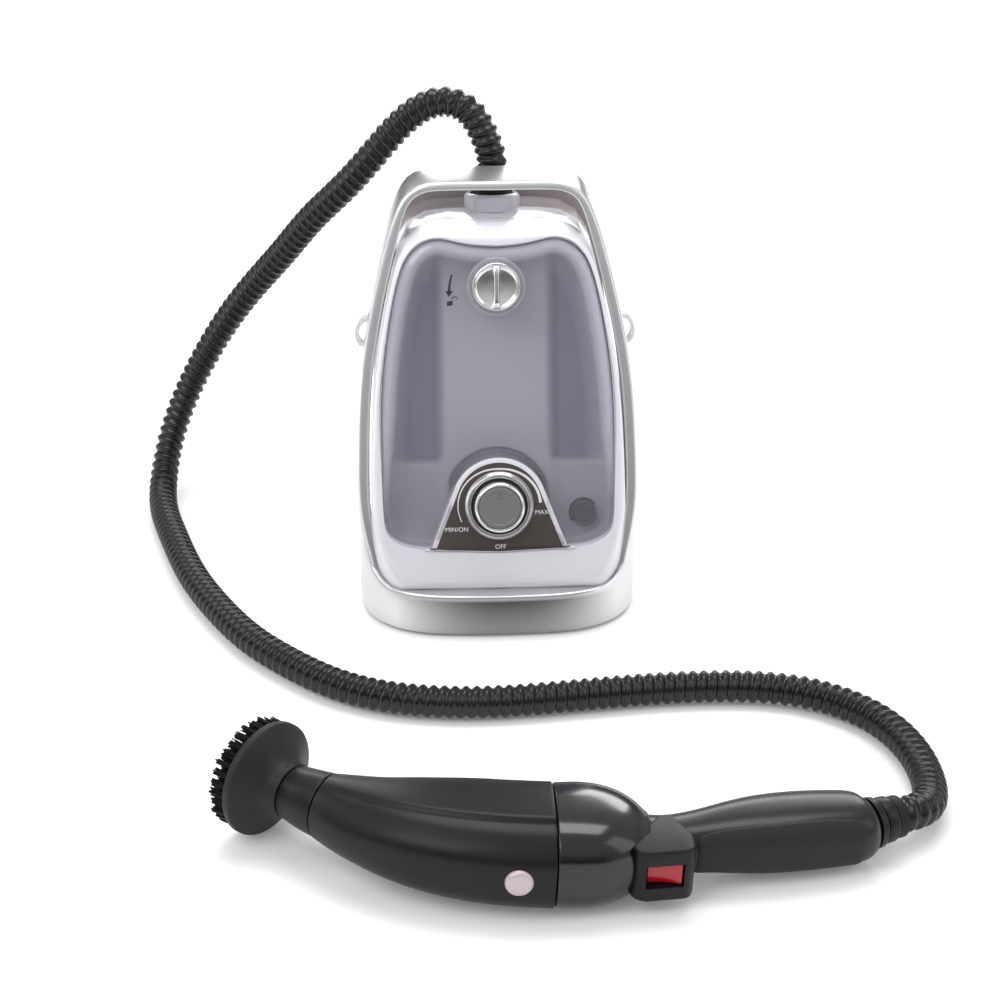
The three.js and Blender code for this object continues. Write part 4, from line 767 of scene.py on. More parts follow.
class STEAM_OT_shell(bpy.types.Operator):
    """The pearl front shell, a rounded rim round the tank with a deeper lower band"""

    bl_idname = "steam.shell"
    bl_label = "Front shell"

    def execute(self, context):
        outer = CASING
        inner = self.matched(TANK + normals(TANK) * -0.5, outer)
        inward = normals(outer)
        turn = np.linspace(0, np.pi / 2, 9)
        width = np.linalg.norm(outer - inner, axis=1)
        round_in = np.minimum(6.5, width * 0.62)[:, None]
        top = np.clip((outer[:, 1] - 200) / 25, 0, 1)[:, None]
        round_back = 6.5 + 5.0 * top
        curve_in = round_in * (1 - np.sin(turn))[None]
        curve_d = round_back * (1 - np.cos(turn))[None]
        edge = outer[:, None] + inward[:, None] * curve_in[..., None]
        share = np.linspace(0, 1, 8)[None, :-1, None]
        flat = inner[:, None] * (1 - share) + edge[:, :1] * share
        flat_d = np.zeros(flat.shape[:2])
        lip = np.repeat(inner[:, None], 5, axis=1)
        out = (edge[:, 0] - inner)
        out /= np.linalg.norm(out, axis=1, keepdims=True)
        arc = np.linspace(0, np.pi / 2, 4)
        lip[:, 1:] += out[:, None] * (1.2 * (1 - np.cos(arc)))[None, :, None]
        lip_d = np.broadcast_to(np.concatenate([[5.4], 1.2 * (1 - np.sin(arc))]), lip.shape[:2])
        flat = flat[:, 1:]
        flat_d = flat_d[:, 1:]
        back_d = np.linspace(0, 1, 6)[1:][None] * (26 - round_back) + round_back
        back = np.repeat(outer[:, None], 5, axis=1)
        inside = np.repeat((outer + inward * CASING_WALL)[:, None], 2, axis=1)
        wall_d = np.broadcast_to([26.0, 5.4], inside.shape[:2])
        points = np.concatenate([lip, flat, edge, back, inside], axis=1)
        depth = np.concatenate([lip_d, flat_d, curve_d, back_d, wall_d], axis=1)
        limit = crown(points[..., 0], points[..., 1])
        depth = np.where(points[..., 1] < 90, smooth_max(depth, limit, 2.5), depth)
        depth = np.maximum(depth - 0.2, 0)
        rise = points[..., 1] + 0.33 * depth
        grid = leaning(points[..., 0], depth, rise)
        surface("front_shell_skin", [(grid, True, True)], paint("pearl_shell"), "main",
                ("front_shell",), sharp=60)
        return {"FINISHED"}

    def matched(self, inner, outer):
        """For each point of the outer outline, the inner outline's point at the same angle round a
        common centre."""
        centre = np.array([0, 118.0])
        a = np.unwrap(np.arctan2(*(inner - centre).T[::-1]))
        b = np.unwrap(np.arctan2(*(outer - centre).T[::-1]))
        order = np.argsort(a)
        return np.stack([np.interp(b, a[order], inner[order, k], period=2 * np.pi)
                         for k in range(2)], -1)


class STEAM_OT_rear(bpy.types.Operator):
    """The warm grey rear cover, the hose's collar and connector, the strap lugs and the gland"""

    bl_idname = "steam.rear"
    bl_label = "Rear cover and outlet"

    def execute(self, context):
        cover = softened("rear_cover_skin", "rear_cover", paint("warm_grey"), "main", 1.1)
        cover.data.materials.append(paint("pearl_shell"))
        self.pearl_top(cover, UNIT_Y + 0.131)
        origin = np.array([0, 137, 247.5])
        lean = math.radians(10)
        axis = (0, math.sin(lean), math.cos(lean))
        collar = rounded([(14.3, 3), (14.3, 9), (16, 9.4), (18.3, 7.6), (18.5, -1.5), (14.3, -1.5)],
                         [0.3, 0.6, 0.8, 1.6, 0.3, 0.3], 6, closed=True)
        surface("outlet_collar", [(unit(along(ring(collar), origin, axis)), True, True)],
                paint("pearl_shell"), "main", ("hose_collar",))
        stem = rounded([(0, -14), (13.7, -14), (13.7, 12), (8.8, 12), (8.8, 21), (0, 21)],
                       [0, 0.4, 0.9, 0.3, 0.4, 0], 5)
        surface("connector_stem", [(unit(along(ring(stem), origin, axis)), True, False)],
                paint("charcoal"), "main", ("hose_connector",))
        nut = rounded([(9.3, 12.5), (12, 12.5), (12, 16.3), (9.3, 16.3)], 0.6, 5, closed=True)
        surface("connector_band", [(unit(along(ring(nut), origin, axis)), True, True)],
                paint("dark_chrome"), "main", ("connector_nut",))
        cuff = rounded([(9.3, 16.9), (10.8, 16.9), (10.8, 21.3), (9.3, 21.3)], 0.5, 5, closed=True)
        surface("outlet_cuff", [(unit(along(ring(cuff), origin, axis)), True, True)],
                paint("soft_black"), "main", ("hose_cuff",))
        for side in ("left", "right"):
            softened(f"strap_eye_{side}", f"strap_lug_{side}", paint("strap_clear"), "main", 0.7)
        softened("mains_gland", "cable_gland", paint("soft_black"), "main", 0.5)
        return {"FINISHED"}

    def pearl_top(self, cover, edge):
        """The top of the casing takes the pearl finish as far back as an edge cut across it."""
        mesh = cover.data
        cut = bmesh.new()
        cut.from_mesh(mesh)
        geometry = cut.verts[:] + cut.edges[:] + cut.faces[:]
        bmesh.ops.bisect_plane(cut, geom=geometry, plane_co=(0, edge, 0), plane_no=(0, 1, 0))
        cut.to_mesh(mesh)
        cut.free()
        count = len(mesh.polygons)
        centre = np.zeros(count * 3)
        normal = np.zeros(count * 3)
        mesh.polygons.foreach_get("center", centre)
        mesh.polygons.foreach_get("normal", normal)
        centre, normal = centre.reshape(-1, 3), normal.reshape(-1, 3)
        top = (centre[:, 2] > 0.2) & (normal[:, 2] > 0.3) & (centre[:, 1] < edge)
        mesh.polygons.foreach_set("material_index", top.astype(np.int32))


class STEAM_OT_tank(bpy.types.Operator):
    """The smoked clear water tank with its arched notch, and the bay behind it"""

    bl_idname = "steam.tank"
    bl_label = "Water tank and bay"

    def execute(self, context):
        outline = self.notched()
        inward = normals(outline)
        free = np.clip((outline[:, 1] - 45) / 60, 0, 1)
        free = free * ((np.abs(outline[:, 0]) > 50) | (outline[:, 1] > 120))
        free = np.convolve(np.concatenate([free[-12:], free, free[:12]]), np.ones(25) / 25, "valid")
        skins, shades = [], []
        for inset, front, back, most in ((0, -1.2, 30, 11.0), (2.2, 1.0, 27.8, 9.0)):
            turn = np.linspace(0, np.pi / 2, 8)
            edge = (1.4 + (most - 1.4) * free)[:, None]
            round_xy = outline[:, None] + inward[:, None] * (
                inset + edge * (1 - np.sin(turn)))[..., None]
            round_d = front + 0.34 * edge * (1 - np.cos(turn))
            far_xy = round_xy[:, ::-1]
            far_d = (back - 0.6 * edge * (1 - np.cos(turn)))[:, ::-1]
            xy = np.concatenate([round_xy, far_xy], axis=1)
            depth = np.concatenate([round_d, far_d], axis=1)
            skins.append((leaning(xy[..., 0], depth, xy[..., 1]), True, False))
            # Painted highlight: the outer skin's rounded rim is made more opaque in the light lavender,
            # which paints whitish highlight bands down the tank's sides.
            thick = np.zeros(xy.shape[:2])
            thick[:, :8] = 0.45 * (inset == 0) * np.sin(turn * 2) * free[:, None]
            shades.append(thick)
        boss = rounded([(5.2, -27), (6.6, -27), (6.6, 0.2), (19, 0.4), (18.2, 2.0), (16.8, 1.6),
                        (16.2, 1.2), (5.2, 1.2)], [0.2, 0.3, 1.5, 0.6, 0.8, 0.5, 0.5, 0.3], 5,
                       closed=True)
        skins.append((on_face(ring(boss), 0, LOCK_RISE), True, True))
        shades.append(np.full(skins[-1][0].shape[:2], 0.3))
        surface("water_tank_clear", skins, paint("smoked_clear"), "tank", ("water_tank",),
                55, shades, True)
        softened("outlet_valve", "tank_valve", paint("smoked_clear"), "tank", 0.5)
        self.prints()
        self.bay()
        return {"FINISHED"}

    def notched(self):
        """The tank's outline with the dial's arch cut from its foot."""
        cut = arch(LABEL_RADIUS + RIM + 0.4, 49.4, 22)
        keep = cut[(cut[:, 1] > bottom_of_tank(cut[:, 0]) - 0.5)]
        first, last = keep[0], keep[-1]
        ring_points = TANK[(TANK[:, 1] > 60) | (np.abs(TANK[:, 0]) > abs(first[0]) + 1.5)]
        angle = np.arctan2(ring_points[:, 1] - 120, ring_points[:, 0])
        ring_points = ring_points[np.argsort((angle + np.pi / 2) % (2 * np.pi))]
        whole = np.concatenate([ring_points, keep[::-1] if last[0] < first[0] else keep])
        even = resample(np.concatenate([whole, whole[:1]]), 420, closed=True)
        return sum(np.roll(even, k, axis=0) for k in (-2, -1, 0, 1, 2)) / 5

    def prints(self):
        """The curved arrow and the open padlock printed beside the lock knob."""
        t = np.linspace(0, 1, 14)
        x = -30.0 + 1.8 * t * t
        s = 191.5 + 12 * t
        half = 0.55 + 0.35 * (1 - t)
        strip = np.stack([np.stack([x - half, s], -1), np.stack([x + half, s], -1)], 1)
        head = np.array([[(-32.4, 193.2), (-27.6, 193.2)], [(-30.2, 189.3), (-30.2, 189.3)]])
        body = np.array([[(-31.6, 183.6), (-31.6, 186.6)], [(-27.8, 184.2), (-27.8, 187.2)]])
        turn = np.linspace(0, np.pi, 12)
        hoop = np.stack([
            np.stack([-26.6 + 1.5 * np.cos(turn), 187.6 + 1.7 * np.sin(turn)], -1),
            np.stack([-26.6 + 2.1 * np.cos(turn), 187.6 + 2.3 * np.sin(turn)], -1)], 1)
        depth = -2.06
        grids = []
        for flat in (strip, head, body, hoop):
            grids.append((leaning(flat[..., 0], depth, flat[..., 1]), False, False))
        surface("lock_marks", grids, paint("tank_ink"), "tank")

    def bay(self):
        """The bay: a raised middle panel with soft sides and deeper channels beside it."""
        outline = TANK + normals(TANK) * -0.2
        weights = np.concatenate([np.linspace(0, 0.94, 34), np.linspace(0.955, 1, 6)])
        xy = star(outline, np.array([0, 128.0]), weights)
        across = np.abs(xy[..., 0])
        step = np.clip((across - 33) / 8, 0, 1)
        channel = step * step * (3 - 2 * step) * np.clip((0.97 - weights) / 0.2, 0, 1)[None] ** 0.6
        channel = channel * np.clip((xy[..., 1] - 78) / 4, 0.25, 1)
        depth = 31.2 + 11.0 * channel
        edge = np.clip((weights - 0.955) / 0.045, 0, 1)[None]
        side = xy[:, -1:]
        wall = np.repeat(side, 5, axis=1)
        wall_d = np.broadcast_to(np.linspace(29, 5.6, 5), wall.shape[:2])
        depth = depth - edge * edge * 2.0
        flat = np.concatenate([xy, wall], axis=1)
        deep = np.concatenate([depth, wall_d], axis=1)
        # Painted shade: the channels also take a darker violet through the shade attribute, standing in
        # for the shade in these recesses.
        shade = np.concatenate([channel ** 1.5 * 0.95, np.zeros(wall.shape[:2])], axis=1)
        front = leaning(flat[..., 0], deep, flat[..., 1])
        outward = normals(outline)
        shell_xy = flat - outward[:, None] * np.linspace(0, 0.6, flat.shape[1])[None, :, None]
        rear = leaning(shell_xy[..., 0], deep + 0.9, shell_xy[..., 1])
        whole = np.concatenate([front, rear[:, ::-1]], axis=1)
        shade = np.concatenate([shade, shade[:, ::-1]], axis=1)
        surface("bay_liner", [(whole, True, False)], paint("lavender_liner"), "main", ("tank_bay",),
                60, (shade,))


class STEAM_OT_dial(bpy.types.Operator):
    """The dial: arched housing, brown label with its scale, bezel, chrome knob and slate cap"""

    bl_idname = "steam.dial"
    bl_label = "Steam dial"

    def execute(self, context):
        self.plate("label_rim", LABEL_RADIUS + RIM, 49.0, -1.2, 20.0, "pearl_shell", "dial_housing", 0.9)
        self.plate("label_plate", LABEL_RADIUS, 45.8, -1.6, 0.6, "brown_label", "dial_label", 0.3)
        self.scale()
        self.words()
        here = LABEL_CENTRE
        bezel = rounded([(17.8, 2.0), (22.3, 2.0), (22.5, 3.2), (20.2, 5.8), (18.6, 5.6), (17.8, 4.4)],
                        [0.2, 0.5, 1.0, 1.0, 0.6, 0.6], 6, closed=True)
        surface("dial_ring", [(on_face(ring(bezel, 96), 0, here), True, True)], paint("dark_chrome"),
                "main", ("dial_bezel",), sharp=70)
        knob = rounded([(0, -12), (3, -12), (3, 1.6), (15.8, 1.6), (16.6, 3.0), (16.6, 9.0),
                        (16.0, 12.6), (14.1, 13.4), (13.9, 12.6), (13.9, 11.4), (0, 11.4)],
                       [0, 0.4, 0.4, 0.6, 1.0, 2.4, 1.4, 0.4, 0.3, 0.2, 0], 6)
        surface("dial_chrome", [(on_face(ring(knob, 96), 0, here), True, False)], paint("chromed"),
                "dial", ("dial_knob",), sharp=70)
        cap = rounded([(0, 12.0), (13.6, 12.0), (13.6, 12.9), (11.2, 13.2), (10.8, 12.7), (0, 12.9)],
                      [0, 0.2, 0.5, 0.3, 0.4, 0], 6)
        mark = np.array([[(-1.5, 6.2), (1.5, 6.2)], [(0, 9.6), (0, 9.6)]])
        self.pointer(mark)
        surface("dial_face", [(on_face(ring(cap, 96), 0, here), True, False)], paint("slate_cap"),
                "dial", ("dial_cap",), sharp=60)
        softened("valve_switch", "dial_switch", paint("steel_parts"), "main", 0.4)
        return {"FINISHED"}

    def pointer(self, mark):
        """The raised triangle at twelve o'clock on the cap."""
        top = np.concatenate([mark, np.full((2, 2, 1), 13.25)], -1)
        foot = np.concatenate([mark, np.full((2, 2, 1), 12.6)], -1)
        wall = np.stack([foot[:, 0], top[:, 0], top[:, 1], foot[:, 1]], 1)
        surface("dial_pointer", [(on_face(wall, 0, LABEL_CENTRE), False, True)], paint("dark_chrome"),
                "dial", ())

    def plate(self, name, radius, half, front, back, finish_name, node_name, edge):
        """An arched plate: a rounded edge and a straight side round its outline, capped flat."""
        outline = arch(radius, half, 15)
        foot = np.linspace(-half, half, 40)[1:-1]
        low = np.stack([foot, np.full_like(foot, 15)], -1)
        outline = resample(np.concatenate([outline, low, outline[:1]]), 260, closed=True)
        floor = bottom_of_tank(outline[:, 0], 0.3 if half > 47 else 0.9)
        outline[:, 1] = np.maximum(outline[:, 1], floor)
        outline = resample(np.concatenate([outline, outline[:1]]), 260, closed=True)
        inward = normals(outline)
        turn = np.linspace(0, np.pi / 2, 5)
        bend = outline[:, None] + inward[:, None] * (edge * (1 - np.sin(turn)))[None, :, None]
        bend_d = np.broadcast_to(front + edge * (1 - np.cos(turn)), bend.shape[:2])
        xy = np.concatenate([bend, outline[:, None]], axis=1)
        depth = np.concatenate([bend_d, np.full((len(outline), 1), back)], axis=1)
        surface(name, [(leaning(xy[..., 0], depth, xy[..., 1]), True, False)], paint(finish_name),
                "main", (node_name,), 50, None, True)

    def scale(self):
        """The tapered scale: thin at the eight o'clock end, thick at the three o'clock end."""
        turn = np.radians(np.linspace(203, 3, 80))
        share = np.linspace(0, 1, 80)
        half = 0.28 + 0.62 * share
        middle = 23.7 + 2.9 * np.abs(np.cos(turn)) ** 1.5
        inner, outer = middle - half, middle + half
        flat = np.stack([
            np.stack([inner * np.cos(turn), LABEL_CENTRE + inner * np.sin(turn)], -1),
            np.stack([outer * np.cos(turn), LABEL_CENTRE + outer * np.sin(turn)], -1)], 1)
        surface("dial_scale", [(leaning(flat[..., 0], -1.66, flat[..., 1]), False, False)],
                paint("scale_ink"), "main", ())

    def words(self):
        """The generic words of the scale, turned to meshes before they are placed."""
        grid = (("off", "OFF", 0.6, 28.6), ("low", "MIN/ON", -27.6, 40.2), ("high", "MAX", 27.4, 50.6))
        for key, text, x, rise in grid:
            curve = bpy.data.curves.new(f"word_{key}", "FONT")
            curve.body = text
            curve.size = 4.1
            curve.align_x = "CENTER"
            holder = bpy.data.objects.new(f"word_{key}_text", curve)
            bpy.context.scene.collection.objects.link(holder)
            bpy.context.view_layer.update()
            mesh = bpy.data.meshes.new_from_object(holder)
            bpy.data.objects.remove(holder)
            flat = np.zeros(len(mesh.vertices) * 3)
            mesh.vertices.foreach_get("co", flat)
            flat = flat.reshape(-1, 3)
            placed = leaning(x + flat[:, 0], -1.72, rise + flat[:, 1] - 1.5)
            mesh.vertices.foreach_set("co", placed.ravel())
            mesh.update()
            finished(f"word_{key}", mesh, paint("scale_ink"), "main", ())


class STEAM_OT_lock(bpy.types.Operator):
    """The round lock knob with its waisted grip bar"""

    bl_idname = "steam.lock"
    bl_label = "Tank lock"

    def execute(self, context):
        disc = rounded([(0, -29), (4, -29), (4, 1.7), (15.1, 1.7), (15.5, 2.6), (15.2, 5.2),
                        (14.0, 5.4), (12.6, 4.2), (5, 3.2), (0, 3.2)],
                       [0, 0.3, 0.3, 0.4, 0.8, 0.8, 0.6, 1.6, 2, 0], 6)
        length = np.linspace(-1, 1, 60)[:, None]
        angle = np.linspace(0, 2 * np.pi, 33)[None, :-1]
        half = 2.1 + 2.3 * length**4
        reach = np.sqrt(np.clip(1 - length**8, 0, 1))
        height = 2.2 + 6.4 * reach
        x = half * np.sign(np.cos(angle)) * np.abs(np.cos(angle)) ** 0.55 * (0.25 + 0.75 * reach)
        z = np.maximum(height * np.sign(np.sin(angle)) * np.abs(np.sin(angle)) ** 0.6, 1.8)
        y = np.broadcast_to(length * 14.4, x.shape)
        bar = np.stack([x, y, z], -1)
        grids = [(on_face(ring(disc, 96), 0, LOCK_RISE), True, False),
                 (on_face(bar, 0, LOCK_RISE), False, True)]
        surface("lock_knob_chrome", grids, paint("chromed"), "lock", ("lock_knob",), sharp=60)
        softened("lock_catch", "lock_cam", paint("steel_parts"), "lock", 0.4)
        return {"FINISHED"}


# ---------------------------------------------------------------- hand piece
def lofted(stations, count, sides=72, crease=0.0):
    """A tube whose section is a superellipse. Each station is (x, y, heading in degrees, half
    height, half width, squareness); between stations each value follows a cubic spline. The crease
    sets the flank below the upper facet in by that share, so that the facet stands proud of it."""
    line = spline(np.asarray(stations, float), count)
    x, y, heading, height, width, square = line.T
    heading = np.radians(heading)
    angle = np.linspace(0, 2 * np.pi, sides, endpoint=False)
    cos, sin = np.cos(angle)[None], np.sin(angle)[None]
    power = (2 / square)[:, None]
    across = height[:, None] * np.sign(cos) * np.abs(cos) ** power
    out = width[:, None] * np.sign(sin) * np.abs(sin) ** power
    if crease:
        turned = np.degrees(angle)[None]
        ledge = np.clip((turned - 104) / 9, 0, 1) * np.clip((172 - turned) / 40, 0, 1)
        fade = np.clip(np.linspace(0, 1, count) * 5, 0, 1)[:, None]
        dent = 1 - crease * ledge * ledge * (3 - 2 * ledge) * fade
        across, out = across * dent, out * dent
    px = x[:, None] - across * np.sin(heading)[:, None]
    py = y[:, None] + across * np.cos(heading)[:, None]
    return np.stack([px, py, out], -1), line


def capped(grid, line, inset=0.6):
    """Closes both ends of a loft with a small rounded edge and a flat face."""
    ends = []
    for k, sign in ((0, -1), (-1, 1)):
        centre = np.array([line[k, 0], line[k, 1], 0.0])
        heading = math.radians(line[k, 2])
        forward = np.array([math.cos(heading), math.sin(heading), 0]) * sign
        rim = grid[k] - centre
        size = np.linalg.norm(rim, axis=1, keepdims=True)
        turn = np.linspace(0, np.pi / 2, 4)[1:]
        rows = [centre + rim * (1 - inset * (1 - math.cos(a)) / size) + forward * inset * math.sin(a)
                for a in turn]
        rows.append(np.repeat(centre[None] + forward[None] * inset, len(rim), axis=0))
        ends.append(np.stack(rows))
    return np.concatenate([ends[0][::-1], grid, ends[1]])


NOZZLE = [
    (-120.2, 32.5, -32, 18.8, 18.6, 2), (-111, 27, -29, 22, 20.2, 2.1),
    (-98, 20.3, -25, 25.6, 21.9, 2.25), (-81.4, 13.6, -19, 29.6, 23.8, 2.5),
    (-64, 8.4, -14, 32.6, 25.2, 2.7), (-45, 4.4, -9, 34.8, 26.2, 2.8),
    (-22, 1.2, -4, 35.9, 26.8, 2.8), (-1.0, 0, 0, 36, 27, 2.8),
]
TRIGGER = [
    (1.0, 0, 0, 35.6, 26.6, 2.8), (14, 0.3, 1, 36, 26.8, 2.8), (26, 0.6, 1, 34.6, 26, 2.7),
    (36, 0.6, 0, 30.5, 23.8, 2.6), (44, 0.2, 0, 25, 20.6, 2.4), (49.4, 0, 0, 19.6, 17, 2.2),
]
HANDLE = [
    (50.9, 0, 0, 17.2, 15, 2.2), (62, 1.2, 8, 16.2, 14.2, 2.3), (79, 4.8, 12, 16.8, 14.6, 2.5),
    (96, 8.6, 12, 19.4, 16.2, 2.6), (112.7, 12, 10, 21.8, 17.4, 2.6),
    (134.9, 15.8, 8, 22.4, 17.8, 2.6), (155, 18.6, 8, 21.4, 17.3, 2.6),
    (168, 20.2, 12, 19.6, 16.4, 2.5), (171.4, 20.9, 20, 16.8, 15.2, 2.2),
]


class STEAM_OT_nozzle(bpy.types.Operator):
    """The hand piece's nozzle with its release button, neck ring and round brush"""

    bl_idname = "steam.nozzle"
    bl_label = "Nozzle and brush"

    def execute(self, context):
        grid, line = lofted(NOZZLE, 90, 144, crease=0.07)
        surface("nozzle_skin", [(hand(capped(grid, line)), False, True)], paint("charcoal"), "nozzle",
                ("nozzle_shell",), sharp=50)
        neck = [(-138.6, 45.9, -40, 15.4, 15.4, 2), (-130.5, 39.4, -36, 17.0, 17.0, 2),
                (-121.8, 33.7, -32, 18.2, 18.1, 2)]
        grid, line = lofted(neck, 24, 72)
        surface("neck_ring_skin", [(hand(capped(grid, line)), False, True)], paint("charcoal"),
                "nozzle", ("neck_ring",), sharp=50)
        softened("steam_pipe_brass", "steam_pipe", paint("brass_parts"), "nozzle", 0.2)
        softened("release_coil", "release_spring", paint("steel_parts"), "nozzle", 0.1)
        button = rounded([(0, 29), (9.2, 29), (9.2, 30.6), (7.6, 30.6), (7.6, 36.0), (6.4, 37.4),
                          (3.0, 38.1), (0, 38.2)], [0, 0.3, 0.3, 0.2, 0.9, 1.2, 1.4, 0], 6)
        turned = ring(button, 48)
        placed = np.stack([-19.8 + turned[..., 0], -turned[..., 2], turned[..., 1]], -1)
        surface("release_button_cap", [(hand(placed), True, False)], paint("button_pink"), "button",
                ("release_button",))
        self.brush(context.scene.steam_cleaner.tufts)
        return {"FINISHED"}

    def brush(self, tufts):
        """A trumpet-shaped head with a flat flange, and tufts in rings on its face."""
        heading = math.radians(140)
        origin = np.array([-139, 46.2, 0.0])
        forward = np.array([math.cos(heading), math.sin(heading), 0])
        sideways = np.array([-forward[1], forward[0], 0])
        upward = np.array([0, 0, 1.0])

        def placed(local):
            turned = local[..., 2:3] * forward + local[..., 0:1] * sideways + local[..., 1:2] * upward
            return hand(origin + turned)

        head = rounded([(0, 1.0), (15.2, 1.0), (15.8, 2.2), (16.2, 7.0), (19.0, 10.6), (25.4, 14.4),
                        (31.6, 17.8), (33.0, 19.0), (33.0, 22.6), (32.3, 23.3), (31.0, 23.3),
                        (30.8, 21), (0, 21)],
                       [0, 0.3, 0.8, 3, 3, 5, 1.5, 0.6, 0.5, 0.5, 0.3, 0.3, 0], 8)
        surface("brush_head_skin", [(placed(ring(head, 96)), True, False)], paint("brush_grey"), "brush",
                ("brush_head",), sharp=50)
        dice = np.random.default_rng(7)
        rows = [(29.0, tufts), (25.0, tufts - 3), (20.6, tufts - 8), (15.8, 16), (10.8, 10), (5.0, 5)]
        spots = np.concatenate([
            np.stack([r * np.cos(a), r * np.sin(a)], -1)
            for r, n in rows for a in [np.linspace(0, 2 * np.pi, n, endpoint=False) + 0.13 * r]])
        spots = np.repeat(spots, 22, axis=0)
        count = len(spots)
        jitter = np.clip(dice.normal(0, 0.8, (count, 2)), -1.5, 1.5)
        lean = dice.normal(0, 0.015, (count, 2)) + spots / 31.5 * 0.05 + jitter * 0.035
        tall = 12.2 + dice.normal(0, 0.18, count) + np.repeat(dice.normal(0, 0.25, count // 22), 22)
        turn = np.linspace(0, 2 * np.pi, 6)[None, :-1]
        layers = []
        for share, thick in ((0.0, 0.5), (0.55, 0.5), (1.0, 0.42), (1.0, 0.0)):
            spot = spots + jitter + lean * (share * tall)[:, None]
            x = spot[:, :1] + thick * np.cos(turn)
            y = spot[:, 1:] + thick * np.sin(turn)
            z = np.broadcast_to((21.2 + share * tall)[:, None], x.shape)
            layers.append(np.stack([x, y, z], -1))
        strands = np.stack(layers, 1)
        grids = [(placed(strand), False, True) for strand in strands]
        surface("brush_tufts", grids, paint("bristle_black"), "brush", ("brush_bristles",),
                sharp=80)


class STEAM_OT_trigger(bpy.types.Operator):
    """The glossy trigger body, the switch hood and the red rocker"""

    bl_idname = "steam.trigger"
    bl_label = "Trigger body and switch"

    def execute(self, context):
        grid, line = lofted(TRIGGER, 60, 96)
        spigot, spigot_line = lofted([(-9, 0, 0, 30, 21, 2.4), (-3, 0, 0, 30, 21, 2.4),
                                      (3, 0, 0, 30, 21, 2.4)], 8, 60)
        surface("trigger_skin", [(hand(capped(grid, line, 0.8)), False, True),
                                 (hand(capped(spigot, spigot_line)), False, True)],
                paint("black_gloss"), "main", ("trigger_body",), sharp=50)
        softened("switch_hood_skin", "switch_hood", paint("charcoal"), "main", 2.4, 20)
        softened("rocker_red", "rocker_switch", paint("red_switch"), "rocker", 0.5)
        softened("steam_valve_brass", "steam_valve", paint("brass_parts"), "main", 0.3)
        return {"FINISHED"}


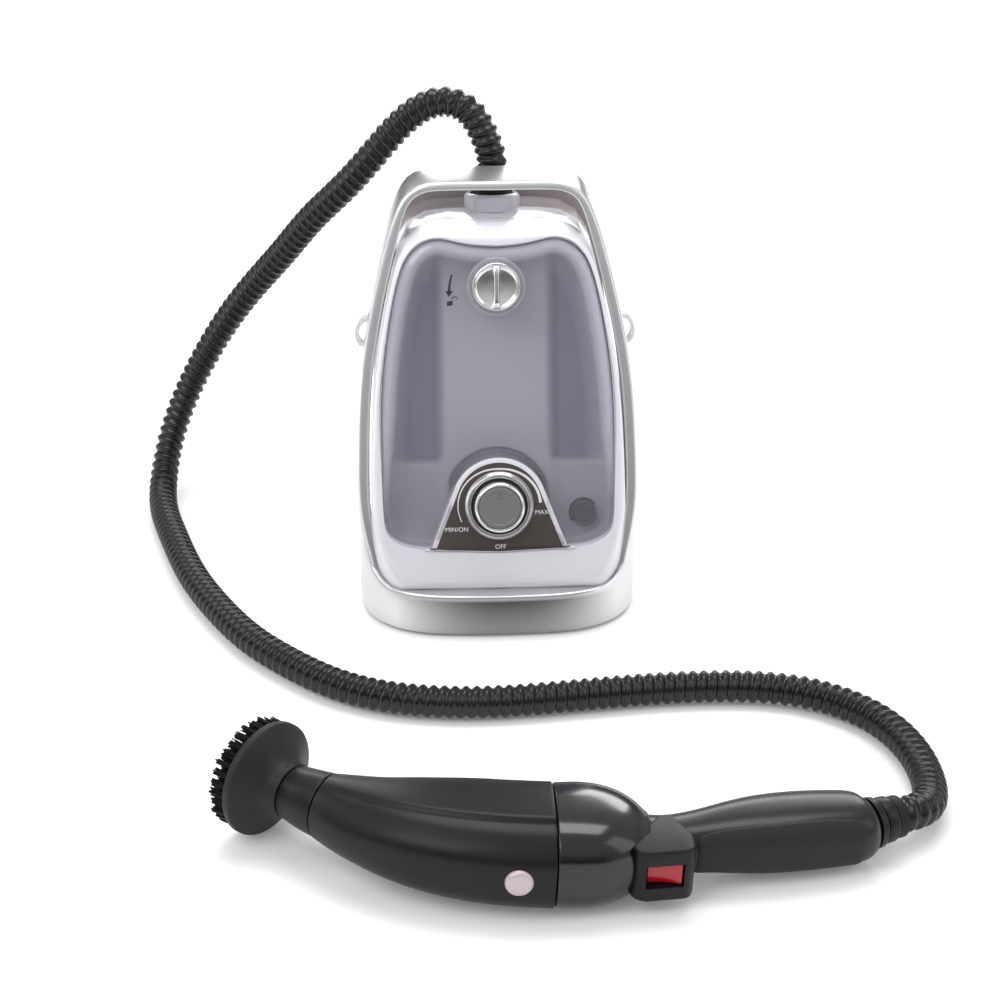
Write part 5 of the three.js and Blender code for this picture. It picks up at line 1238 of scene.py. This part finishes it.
class STEAM_OT_handle(bpy.types.Operator):
    """The handle with its textured grip, end collar, swivel ring and hose cuff"""

    bl_idname = "steam.handle"
    bl_label = "Handle"

    def execute(self, context):
        grid, line = lofted(HANDLE, 100, 96)
        surface("handle_skin", [(hand(capped(grid, line, 0.8)), False, True)], paint("dark_grip"),
                "main", ("handle_shell",), sharp=50)
        self.grip()
        softened("end_collar_skin", "end_collar", paint("charcoal"), "main", 0.5)
        softened("swivel_skin", "swivel_ring", paint("charcoal"), "swivel", 0.4)
        softened("tail_cuff_skin", "hose_tail_cuff", paint("soft_black"), "main", 0.4)
        return {"FINISHED"}

    def grip(self):
        """The grip panel: a patch of the handle's section on its lower side, with a rounded outline.
        Its half angle falls to nothing at both ends as the eighth root of 1 - u^8, and its skin
        rises from the shell at the rim to stand proud over the middle."""
        u = np.linspace(-1, 1, 90)[:, None]
        v = np.linspace(-1, 1, 60)[None]
        u = np.sign(u) * (1 - (1 - np.abs(u)) ** 1.6)
        line = spline(np.asarray(HANDLE, float), 400)
        x = 119 + 46.5 * u[:, 0]
        x_here, y, heading, height, width, square = (
            np.interp(x, line[:, 0], line[:, k])[:, None] for k in range(6))
        middle, half = np.radians(186), np.radians(62)
        shape = np.clip(1 - np.abs(u) ** 7, 0, 1) ** (1 / 7)
        angle = middle + half * shape * v
        rim = np.clip((1 - np.maximum(np.abs(u), np.abs(v)) ** 2) * 9, 0, 1) ** 0.5
        outer = self.patch(x_here, y, heading, height, width, square, angle, -0.15 + 0.95 * rim)
        inner = self.patch(x_here, y, heading, height, width, square, angle, -0.8)
        whole = np.concatenate([outer, inner[:, ::-1]], axis=1)
        surface("grip_skin", [(hand(whole), False, True)], paint("grip_rubber"), "main",
                ("grip_insert",), sharp=60)

    def patch(self, x, y, heading, height, width, square, angle, lift):
        """Points of the handle's section at those angles, grown outwards by the lift."""
        power = 2 / square
        cos, sin = np.cos(angle), np.sin(angle)
        across = (height + lift) * np.sign(cos) * np.abs(cos) ** power
        out = (width + lift) * np.sign(sin) * np.abs(sin) ** power
        turn = np.radians(heading)
        return np.stack([x - across * np.sin(turn), y + across * np.cos(turn), out], -1)


class STEAM_OT_inside(bpy.types.Operator):
    """Finishes on what is inside the casing: boiler, pump, board, tubes and seals"""

    bl_idname = "steam.inside"
    bl_label = "Inside"

    def execute(self, context):
        slots = {part["node"]: part["material_slot"] for part in frame["record"]["subparts"]}
        for name, cad in frame["nodes"].items():
            if not cad.data.materials or cad.data.materials[0] != paint(slots[name]):
                cad.data.materials.clear()
                cad.data.materials.append(paint(slots[name]))
        return {"FINISHED"}


class STEAM_PT_panel(bpy.types.Panel):
    bl_label = "Steam cleaner"
    bl_idname = "STEAM_PT_panel"
    bl_space_type = "VIEW_3D"
    bl_region_type = "UI"
    bl_category = "Steam cleaner"

    def draw(self, context):
        look = context.scene.steam_cleaner
        for name in ("frame_colour", "shell_colour", "liner_colour", "hose_pitch", "hose_depth", "tufts"):
            self.layout.prop(look, name)
        for operator in OPERATORS:
            self.layout.operator(operator.bl_idname)


OPERATORS = (
    STEAM_OT_stage, STEAM_OT_hose, STEAM_OT_frame, STEAM_OT_shell, STEAM_OT_rear, STEAM_OT_tank,
    STEAM_OT_dial, STEAM_OT_lock, STEAM_OT_nozzle, STEAM_OT_trigger, STEAM_OT_handle,
    STEAM_OT_inside,
)
CLASSES = (SteamCleanerSettings, *OPERATORS, STEAM_PT_panel)


def register():
    for each in CLASSES:
        bpy.utils.register_class(each)
    bpy.types.Scene.steam_cleaner = bpy.props.PointerProperty(type=SteamCleanerSettings)


def unregister():
    del bpy.types.Scene.steam_cleaner
    for each in reversed(CLASSES):
        bpy.utils.unregister_class(each)


def main():
    """Builds the whole object in order."""
    register()
    build_groups()
    build_finishes()
    for operator in OPERATORS:
        family, action = operator.bl_idname.split(".")
        result = getattr(getattr(bpy.ops, family), action)()
        if result != {"FINISHED"}:
            raise RuntimeError(f"{operator.bl_label} did not finish")


if __name__ == "__main__":
    main()
